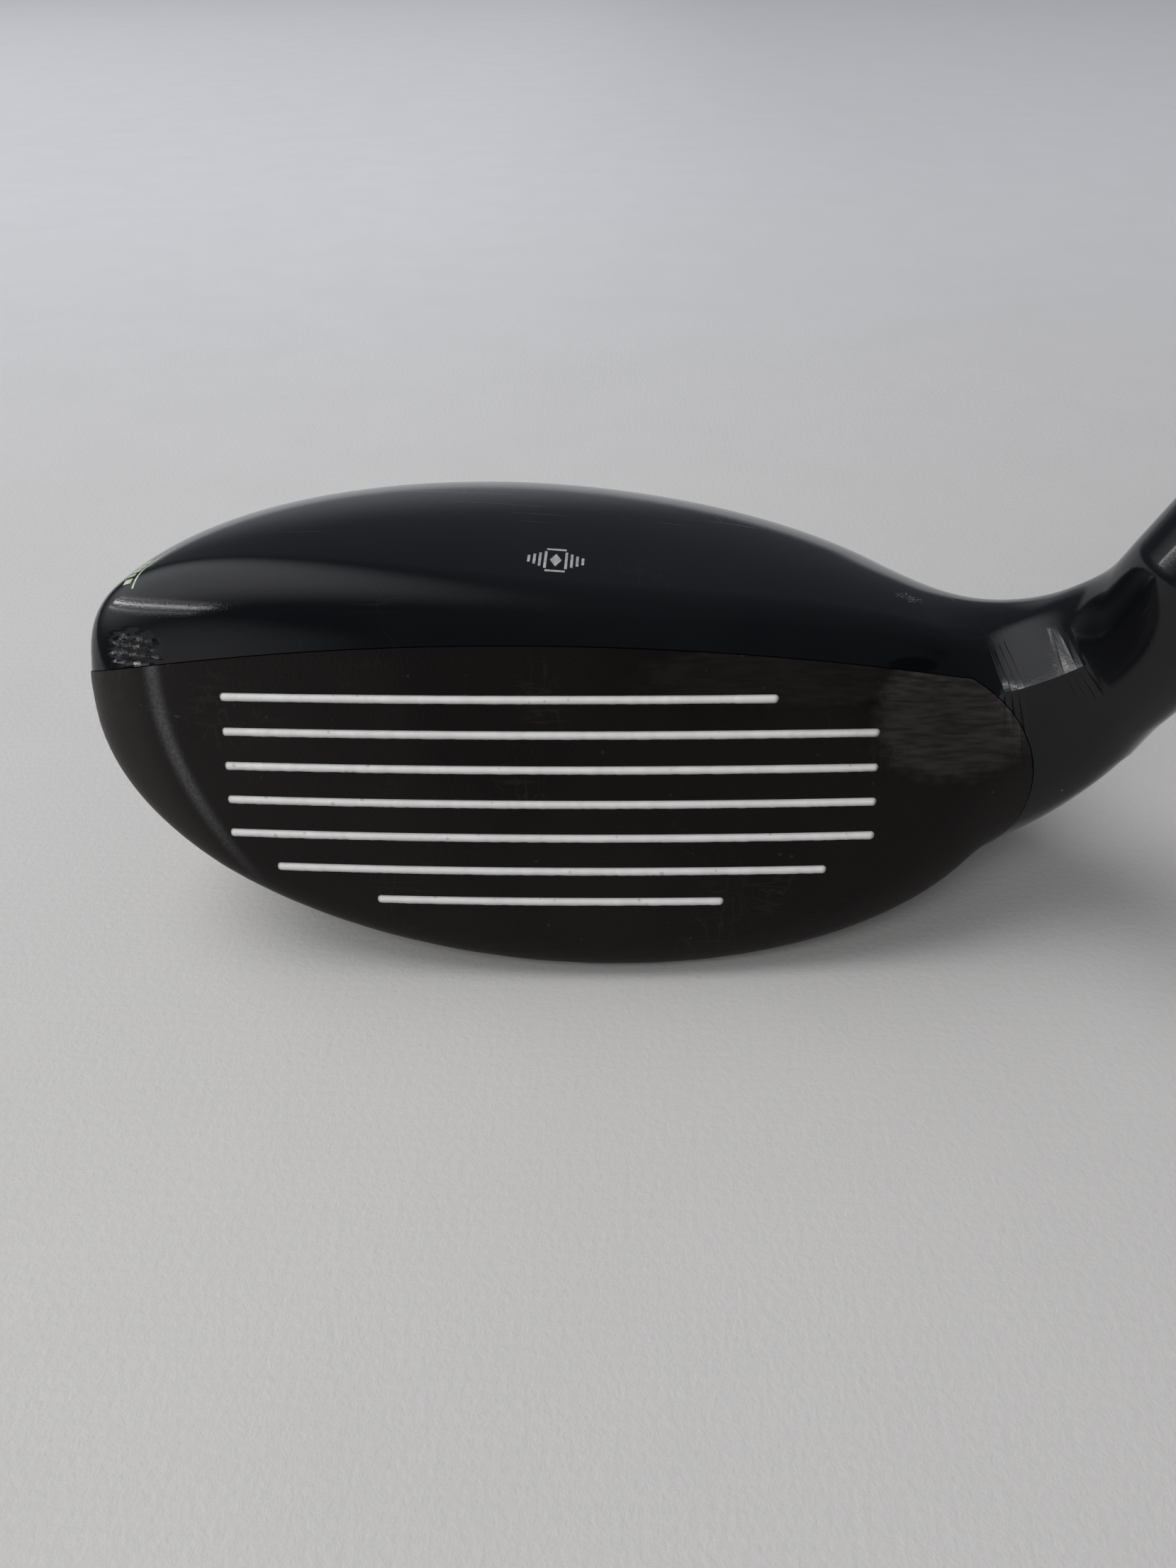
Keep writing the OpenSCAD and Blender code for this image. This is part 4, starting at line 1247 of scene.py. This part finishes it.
# %% Grip body
mouth_r, grip_r, rim_h = 9.3, 13.0, 0.5
flare_from, flare_to = cap_start - 12, cap_start - 4
lip_len, lip_drop, ring_deep, pattern_deep = 1.5, 0.6, 0.45, 0.3
pattern_from, pattern_to = grip_start + 16, flare_from - 3


def grip_radius(d):
    return mouth_r + (grip_r - mouth_r) * (d - grip_start - lip_len) / (flare_from - grip_start - lip_len)


lining = tape_t + 0.02
profile = [(shaft_radius(grip_start) + lining, grip_start), (mouth_r - lip_drop, grip_start),
           (grip_radius(grip_start + lip_len), grip_start + lip_len)]
bevels = [0.2, 0.3, 0.4]
for ring_at in (5.0, 8.0, 11.0):
    d = grip_start + ring_at
    r = grip_radius(d)
    profile += [(r, d), (r - ring_deep, d + 0.25), (r - ring_deep, d + 0.75), (r, d + 1.0)]
    bevels += [0.12, 0.1, 0.1, 0.12]
for d in np.linspace(grip_start + 14, flare_from, 30):
    recess = pattern_deep if pattern_from < d < pattern_to else 0.0
    profile.append((grip_radius(d) - recess, d))
    bevels.append(0)
profile += [(grip_r + rim_h, flare_to), (grip_r + rim_h, cap_start)]
profile.append((shaft_radius(cap_start) + lining, cap_start))
bevels += [0.8, 0.1, 0]
grip = turned("grip_sleeve", rounded(profile, bevels), 128, sharp=40)

grip_rubber, tree, shader, place = new_finish("grip_rubber", Roughness=0.62, IOR=1.5)
tone = use(tree, drift, place, Broad=60.0, Fine=2600.0)
chalk = use(tree, specks, place, Scale=900.0, Size=0.22, Share=0.12)
hands = use(tree, patch, place, Centre=(0.0, 0.0, 0.0), Raggedness=0.9, Scale=40.0,
            Half_size=(0.06, 0.03, 0.09))
clouds = spread(tree, tone.outputs["Broad"])
rubber = blend_colour(tree, clouds, (0.012, 0.012, 0.012), (0.024, 0.023, 0.022))
rubber = blend_colour(tree, hands.outputs["Mask"], rubber, (0.006, 0.006, 0.006), 0.5)
rubber = blend_colour(tree, chalk.outputs["Mask"], rubber, (0.09, 0.088, 0.084), 0.3)
join(tree, rubber, shader.inputs["Base Color"])
rough = spread(tree, tone.outputs["Fine"], 0.52, 0.72)
polished = math_node(tree, "MULTIPLY", hands.outputs["Mask"], 0.16)
join(tree, math_node(tree, "SUBTRACT", rough, polished), shader.inputs["Roughness"])
raise_by(tree, shader, tone.outputs["Fine"], 0.00012)
dress(grip, grip_rubber)
finish_piece(grip, "club", "grip_rubber", "grip")

# %% The tree that lays pips on a taper
pips, g_in, g_out = new_tree("grip_pips", [
    ("Rows", "NodeSocketInt", 60), ("Around", "NodeSocketInt", 18), ("First", "NodeSocketFloat", 20.0),
    ("Pitch", "NodeSocketFloat", 3.4), ("Mouth radius", "NodeSocketFloat", 9.0),
    ("Taper", "NodeSocketFloat", 0.015), ("Pip size", "NodeSocketFloat", 0.8),
    ("Rubber", "NodeSocketMaterial", None),
])
count = math_node(pips, "MULTIPLY", g_in.outputs["Rows"], g_in.outputs["Around"])
scattered = pips.nodes.new("GeometryNodePoints")
join(pips, count, scattered.inputs["Count"])
index = pips.nodes.new("GeometryNodeInputIndex")
# Half an index more keeps the division clear of the whole numbers, so FLOOR can't miss a row.
safe_index = math_node(pips, "ADD", index.outputs[0], 0.5)
row = math_node(pips, "FLOOR", math_node(pips, "DIVIDE", safe_index, g_in.outputs["Around"]))
before_row = math_node(pips, "MULTIPLY", row, g_in.outputs["Around"])
in_row = math_node(pips, "SUBTRACT", index.outputs[0], before_row)
stagger = math_node(pips, "MULTIPLY", math_node(pips, "FLOORED_MODULO", row, 2.0), 0.5)
turn = math_node(pips, "MULTIPLY", math_node(pips, "ADD", in_row, stagger), 2 * math.pi)
turn = math_node(pips, "DIVIDE", turn, g_in.outputs["Around"])
far_up = math_node(pips, "MULTIPLY", row, g_in.outputs["Pitch"])
wider = math_node(pips, "MULTIPLY", far_up, g_in.outputs["Taper"])
reach = math_node(pips, "ADD", g_in.outputs["Mouth radius"], wider)
spot = pips.nodes.new("ShaderNodeCombineXYZ")
join(pips, math_node(pips, "MULTIPLY", reach, math_node(pips, "COSINE", turn)), spot.inputs["X"])
join(pips, math_node(pips, "MULTIPLY", reach, math_node(pips, "SINE", turn)), spot.inputs["Y"])
join(pips, math_node(pips, "ADD", far_up, g_in.outputs["First"]), spot.inputs["Z"])
outward = pips.nodes.new("ShaderNodeCombineXYZ")
join(pips, math_node(pips, "COSINE", turn), outward.inputs["X"])
join(pips, math_node(pips, "SINE", turn), outward.inputs["Y"])
placed = pips.nodes.new("GeometryNodeSetPosition")
join(pips, scattered.outputs[0], placed.inputs["Geometry"])
join(pips, spot.outputs[0], placed.inputs["Position"])
facing = node(pips, "FunctionNodeAlignRotationToVector", axis="Z")
join(pips, outward.outputs[0], facing.inputs["Vector"])
pip = node(pips, "GeometryNodeMeshUVSphere", in_Segments=8, in_Rings=5)
join(pips, g_in.outputs["Pip size"], pip.inputs["Radius"])
flat_pip = node(pips, "GeometryNodeTransform")
pip_shape = (1.15, 0.8, 0.42)
flat_pip.inputs["Scale"].default_value = pip_shape
join(pips, pip.outputs[0], flat_pip.inputs["Geometry"])
copies = pips.nodes.new("GeometryNodeInstanceOnPoints")
join(pips, placed.outputs[0], copies.inputs["Points"])
join(pips, flat_pip.outputs[0], copies.inputs["Instance"])
join(pips, facing.outputs[0], copies.inputs["Rotation"])
end_tree(pips, copies.outputs[0], g_in.outputs["Rubber"], g_out)

# %% Grow the pattern
first_row, last_row, row_pitch, pip_sink = grip_start + 19, flare_from - 6, 3.2, 0.32
rows = int((last_row - first_row) / row_pitch)
taper = (grip_radius(flare_from) - grip_radius(grip_start)) / (flare_from - grip_start)
blank = bpy.data.meshes.new("blank")
pattern = grow(add_object("grip_pattern", blank), pips, Rows=rows, Around=20, First=first_row,
               Pitch=row_pitch, Mouth_radius=grip_radius(first_row) - pip_sink, Taper=taper, Pip_size=0.78,
               Rubber=grip_rubber)
pattern.data.transform(axis_to_row)
pattern.data.polygons.foreach_set("use_smooth", np.ones(len(pattern.data.polygons), bool))
finish_piece(pattern, "club", "grip_rubber")

# %% Grip cap
vent_r, cap_foot = 1.6, cap_start + 0.02
ring_outer, ring_inner, ring_floor = 6.2, 3.2, club_length - 0.4
profile = rounded(
    [(vent_r, cap_foot), (grip_r + rim_h, cap_foot), (grip_r, cap_start + 0.6 * cap_t),
     (grip_r - 2.5, club_length), (ring_outer, club_length), (ring_outer - 0.2, ring_floor),
     (ring_inner + 0.2, ring_floor), (ring_inner, club_length), (vent_r, club_length)],
    [0, 0.3, 1.2, 0.8, 0.1, 0.1, 0.1, 0.1, 0.3],
)
cap = turned("grip_end_cap", profile, 128)
dress(cap, grip_rubber)
finish_piece(cap, "club", "grip_rubber", "grip_cap")

# %% [markdown]
# ## The weight in the sole
#
# A steel screw in the sole tunes the head's balance. It turns in a port that is welded into the
# shell, and squeezes a thin rubber seal. These three move against each other: the seal rides out
# with the screw, and the screw also turns. So each is a piece of its own on its own CAD body.

# %% Port
seal_play, shank_play = 0.05, 0.3
seat = head_t + seal_t + 2 * seal_play
inner, outer = head_r + head_play, port_r - 0.05
back, hole_r, hole_end = port_sink - port_len, shank_r + shank_gap, -seat - shank_len
profile = rounded(
    [(0, back), (outer, back), (outer, 0.0), (inner, 0.0), (inner, -seat), (hole_r, -seat),
     (hole_r, hole_end), (0, hole_end)],
    [0, 0.2, 0.15, 0.35, 0, 0.25, 0, 0],
)
weight_to_row = head_to_row @ weight_to_head
port = turned("weight_port_cup", profile, 128, weight_to_row)


def metal_finish(name, dark, light, rough_low, rough_high):
    material, tree, shader, place = new_finish(name, Metallic=1.0)
    tone = use(tree, drift, place, Broad=220.0, Fine=3600.0)
    marks = use(tree, hairlines, place, Turn=(0.5, 0.3, 0.9), Stretch=(0.15, 1, 1), Scale=2000.0,
                Width=0.03, Amount=0.8)
    nicks = use(tree, specks, place, Scale=1400.0, Size=0.2, Share=0.12)
    steel = blend_colour(tree, spread(tree, tone.outputs["Broad"]), dark, light)
    worn = math_node(tree, "MAXIMUM", marks.outputs["Mask"], nicks.outputs["Mask"])
    in_scratches = tuple(c * 0.4 for c in dark)
    steel = blend_colour(tree, worn, steel, in_scratches, 0.5)
    join(tree, steel, shader.inputs["Base Color"])
    join(tree, spread(tree, tone.outputs["Fine"], rough_low, rough_high), shader.inputs["Roughness"])
    raise_by(tree, shader, worn, 0.00003)
    return material


bare_steel = metal_finish("bare_steel", (0.30, 0.30, 0.30), (0.42, 0.42, 0.42), 0.3, 0.48)
screw_steel = metal_finish("screw_steel", (0.46, 0.46, 0.47), (0.58, 0.58, 0.59), 0.2, 0.34)
dense_metal = metal_finish("dense_metal", (0.16, 0.16, 0.17), (0.24, 0.24, 0.25), 0.4, 0.6)
dress(port, bare_steel)
finish_piece(port, "club", "bare_steel", "weight_port")

# %% Seal
seal_inner, seal_outer, seal_top = shank_r + 0.06, head_r - 0.6, -head_t - seal_play
seal_foot = -head_t - seal_t - seal_play
profile = rounded(
    [(seal_inner, seal_foot), (seal_outer, seal_foot), (seal_outer, seal_top), (seal_inner, seal_top)],
    [0.25] * 4,
)
seal = turned("weight_seal_ring", profile, 96, weight_to_row)
dress(seal, grip_rubber)
finish_piece(seal, "seal", "seal_rubber", "weight_seal")

# %% Screw
# The screw's head has a bevelled rim, a turned groove and a six-lobed socket. The thread on its
# shank is cut as rings, because it stays out of sight.
thread_pitch, thread_deep, chamfer = 1.0, 0.35, 0.5
tail = shank_play - seat - shank_len
profile = [(0, 0.0), (4.9, 0.0), (5.0, -0.25), (5.6, -0.25), (5.7, 0.0)]
bevels = [0, 0.08, 0.08, 0.08, 0.08]
profile += [(head_r, 0.0), (head_r, -head_t), (shank_r, -head_t)]
bevels += [0.45, 0.2, 0.1]
for d in np.arange(-seat - 0.6, -seat - shank_len + shank_play + 0.8, -thread_pitch):
    root = shank_r - thread_deep
    profile += [(shank_r, d), (root, d - 0.35), (root, d - 0.6)]
profile += [(shank_r, tail + chamfer), (shank_r - chamfer, tail), (0, tail)]
bevels += [0] * (len(profile) - len(bevels))
screw = turned("weight_screw_body", rounded(profile, bevels), 128, weight_to_head)
socket_r, lobe_r, socket_deep = 2.45, 0.42, 2.0
lobes = [
    ((socket_r + lobe_r * math.cos(6 * a)) * math.cos(a), (socket_r + lobe_r * math.cos(6 * a)) * math.sin(a))
    for a in np.linspace(0, 2 * math.pi, 96, endpoint=False)
]
carve(screw, prism("socket", lobes, -socket_deep, 1.0, weight_to_head))
screw.data.set_sharp_from_angle(angle=math.radians(30))
screw.data.transform(head_to_row)
dress(screw, screw_steel)
finish_piece(screw, "screw", "screw_steel", "weight_screw")

# %% [markdown]
# ## Parts that stay inside
#
# Two bars brace the crown against the sole, a dense block lowers the head's weight, a plug closes
# the shaft's bore, and tape holds the grip. They stay hidden, but the model has them, so each gets
# its true finish.

# %% Finishes for the inner parts
plug_plastic, tree, shader, place = new_finish("plug_plastic", Roughness=0.5)
tone = use(tree, drift, place, Broad=200.0, Fine=3000.0)
resin = blend_colour(tree, spread(tree, tone.outputs["Broad"]), (0.42, 0.33, 0.2), (0.55, 0.45, 0.3))
join(tree, resin, shader.inputs["Base Color"])
join(tree, spread(tree, tone.outputs["Fine"], 0.4, 0.6), shader.inputs["Roughness"])
raise_by(tree, shader, tone.outputs["Fine"], 0.00005)

tape_cloth, tree, shader, place = new_finish("tape_cloth", Roughness=0.8)
tone = use(tree, drift, place, Broad=120.0, Fine=2400.0)
cloth = blend_colour(tree, spread(tree, tone.outputs["Fine"]), (0.48, 0.40, 0.27), (0.62, 0.54, 0.4))
join(tree, cloth, shader.inputs["Base Color"])
join(tree, spread(tree, tone.outputs["Broad"], 0.7, 0.9), shader.inputs["Roughness"])
raise_by(tree, shader, tone.outputs["Fine"], 0.0001)

inner_finishes = {
    "brace_bar_toe": bare_steel,
    "brace_bar_heel": bare_steel,
    "tungsten_block": dense_metal,
    "tip_plug": plug_plastic,
    "grip_tape": tape_cloth,
}
for name, finish in inner_finishes.items():
    dress(nodes[name], finish)
print("finished inside:", ", ".join(inner_finishes))

# %% [markdown]
# ## The table, the light and the camera
#
# The club lies on a pale, fine grained table, whose colour holds painted light: lighter and a little cool far
# away, warmer near by, and painted shade towards the right.
# Two wide soft lamps light it, from high up on the left and from in front. Gloss paint mirrors the
# room more than it shows its lamps, so the two are kept apart: those lamps are left out of
# reflections, and the paint mirrors a dim room with a few soft lobes of light instead.

# %% Table
table_half = 9.0
corner_points = [(-table_half, -table_half, 0), (table_half, -table_half, 0),
                 (table_half, table_half, 0), (-table_half, table_half, 0)]
mesh = bpy.data.meshes.new("table")
mesh.from_pydata([tuple(Vector(p) + ground) for p in corner_points], [], [(0, 1, 2, 3)])
table = add_object("table", mesh)
table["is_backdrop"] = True
table_top, tree, shader, place = new_finish("table_top", Roughness=0.55, IOR=1.4)
tone = use(tree, drift, place, Broad=55.0, Fine=900.0)
weave = node(tree, "ShaderNodeTexNoise", in_Scale=1500.0, in_Detail=4.0, in_Roughness=0.65)
join(tree, place, weave.inputs["Vector"])
threads = None
for direction in ("X", "Y"):
    wave = node(tree, "ShaderNodeTexWave", bands_direction=direction, in_Scale=260.0, in_Distortion=2.5,
                in_Detail=1.0, in_Detail_Scale=1.5)
    join(tree, place, wave.inputs["Vector"])
    one_way = wave.outputs["Fac"]
    threads = one_way if threads is None else math_node(tree, "ADD", threads, one_way)
crumbs = use(tree, specks, place, Scale=16.0, Size=0.007, Share=0.35)
spot = node(tree, "ShaderNodeSeparateXYZ")
join(tree, place, spot.inputs[0])
# Painted light and shade: the colour is lighter and cooler far away, warmer near by and darker to the right,
# as the lamps' light falls off.
painted_far_light = ramp(tree, spot.outputs["Y"], ground.y - 0.06, ground.y + 0.45)
painted_right_shade = ramp(tree, spot.outputs["X"], ground.x - 0.09, ground.x + 0.13)
laid = blend_colour(tree, painted_far_light, (0.66, 0.645, 0.625), (0.80, 0.81, 0.84))
laid = blend_colour(tree, painted_right_shade, laid, (0.36, 0.345, 0.345), 0.22)
laid = blend_colour(tree, spread(tree, weave.outputs["Fac"], 0.0, 0.10), laid, (0.5, 0.5, 0.5))
laid = blend_colour(tree, spread(tree, tone.outputs["Broad"], 0.0, 0.06), laid, (0.45, 0.44, 0.43))
laid = blend_colour(tree, ramp(tree, threads, 0.2, 1.8, 0.0, 0.07), laid, (0.5, 0.49, 0.47))
laid = blend_colour(tree, crumbs.outputs["Mask"], laid, (0.10, 0.09, 0.08), 0.75)
join(tree, laid, shader.inputs["Base Color"])
join(tree, spread(tree, tone.outputs["Fine"], 0.5, 0.65), shader.inputs["Roughness"])
raise_by(tree, shader, weave.outputs["Fac"], 0.00008)
dress(table, table_top)

# %% Sky of the room
# The room is a dim bluish grey with three soft lobes of light: a faint glow from the far wall, a
# wide window high up on the left, and a paler stretch of wall in front on the left.
scene.view_settings.view_transform = "Standard"
room = bpy.data.worlds.new("room")
scene.world = room
room.use_nodes = True
tree = room.node_tree
tree.nodes.clear()
toward = tree.nodes.new("ShaderNodeTexCoord").outputs["Generated"]
sky = None
lobes_of_light = (
    # direction, cosine where it starts, cosine where it is full, colour and strength
    ((-0.2, 1.0, -0.05), 0.93, 1.0, (1.0, 1.0, 1.02), 0.20),
    ((-0.65, 0.15, 0.75), 0.72, 1.0, (1.0, 1.0, 1.03), 1.4),
    ((-0.66, -0.73, 0.15), 0.90, 1.0, (1.0, 0.99, 0.98), 0.6),
)
for direction, low, high, colour, strength in lobes_of_light:
    facing = node(tree, "ShaderNodeVectorMath", operation="DOT_PRODUCT")
    join(tree, toward, facing.inputs[0])
    facing.inputs[1].default_value = tuple(Vector(direction).normalized())
    glow = ramp(tree, facing.outputs["Value"], low, high, 0.0, strength)
    tint = node(tree, "ShaderNodeVectorMath", operation="SCALE")
    tint.inputs[0].default_value = colour
    join(tree, glow, tint.inputs["Scale"])
    if sky is None:
        sky = tint.outputs[0]
    else:
        total = node(tree, "ShaderNodeVectorMath", operation="ADD")
        join(tree, sky, total.inputs[0])
        join(tree, tint.outputs[0], total.inputs[1])
        sky = total.outputs[0]
# The corner in front on the right lies in shade, with a clean edge in the paint.
dark_corner, wall_colour, corner_light = Vector((0.64, -0.74, 0.18)), (0.100, 0.108, 0.122), 0.75
corner = node(tree, "ShaderNodeVectorMath", operation="DOT_PRODUCT")
join(tree, toward, corner.inputs[0])
corner.inputs[1].default_value = tuple(dark_corner.normalized())
shaded = ramp(tree, corner.outputs["Value"], 0.30, 0.38, 1.0, corner_light)
walls = node(tree, "ShaderNodeVectorMath", operation="SCALE")
walls.inputs[0].default_value = wall_colour
join(tree, shaded, walls.inputs["Scale"])
dim = node(tree, "ShaderNodeVectorMath", operation="ADD")
join(tree, sky, dim.inputs[0])
join(tree, walls.outputs[0], dim.inputs[1])
lit = node(tree, "ShaderNodeBackground", in_Strength=1.0)
join(tree, dim.outputs[0], lit.inputs["Color"])
join(tree, lit.outputs[0], tree.nodes.new("ShaderNodeOutputWorld").inputs["Surface"])


# %% Lights
def softbox(name, start, end, height, power, aim=(0.1, 0.0, 0.0), glossy=True, diffuse=True):
    """A flat light whose width runs from start to end."""
    data = bpy.data.lights.new(name, "AREA")
    lamp = add_object(name, data)
    width = Vector(end) - Vector(start)
    data.shape, data.size, data.size_y, data.energy = "RECTANGLE", width.length, height, power
    lamp.location = ground + (Vector(start) + Vector(end)) / 2
    across = width.normalized()
    back = (lamp.location - ground - Vector(aim)).normalized()
    up = back.cross(across).normalized()
    lamp.rotation_mode = "QUATERNION"
    lamp.rotation_quaternion = Matrix((across, up, across.cross(up))).transposed().to_quaternion()
    lamp.visible_glossy, lamp.visible_diffuse = glossy, diffuse


softbox("window_light", (-1.65, -0.33, 2.0), (-0.95, 1.33, 2.0), 1.8, 22.0, glossy=False)
softbox("front_light", (-1.6, -1.9, 1.9), (0.2, -1.9, 1.9), 1.2, 24.0, glossy=False)
# The window's gaps: bars of bright sky that show only as glints in gloss.
neck_spot = (0.048, 0.004, 0.033)
window_gaps = ((0.0, 0.03, 2.0), (-0.12, 0.015, 0.4), (0.12, 0.012, 0.3))
for number, (up, width, power) in enumerate(window_gaps):
    softbox(f"window_gap_{number}", (-0.86, -0.74, 0.93 + up), (-1.34, 0.36, 0.57 + up), width, power,
            neck_spot, diffuse=False)

# %% Camera
eye = head_to_row @ Vector((8.2, -94.2, 89.5))
look, above = Vector((-0.036, 0.800, -0.599)).normalized(), Vector((-0.003, 0.599, 0.800))
side = look.cross(above).normalized()
above = side.cross(look)
turned_to = Matrix((side, above, -look)).transposed()
camera_data = bpy.data.cameras.new("camera")
camera_data.lens, camera_data.sensor_width = 27.05, 36.0
camera_data.clip_start = 0.005
camera = add_object("camera", camera_data)
camera.matrix_world = Matrix.Translation(eye) @ turned_to.to_4x4()
scene.camera = camera
print("camera at", tuple(round(c, 4) for c in eye))

# %% [markdown]
# ## Measure and finish
#
# The looks must keep to the CAD model's size, so both boxes are written down side by side.

# %% Print both boxes side by side
model_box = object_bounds()
for label, (low, high) in (("CAD", cad_box), ("model", model_box)):
    print(label, [round(c, 4) for c in low], [round(c, 4) for c in high])
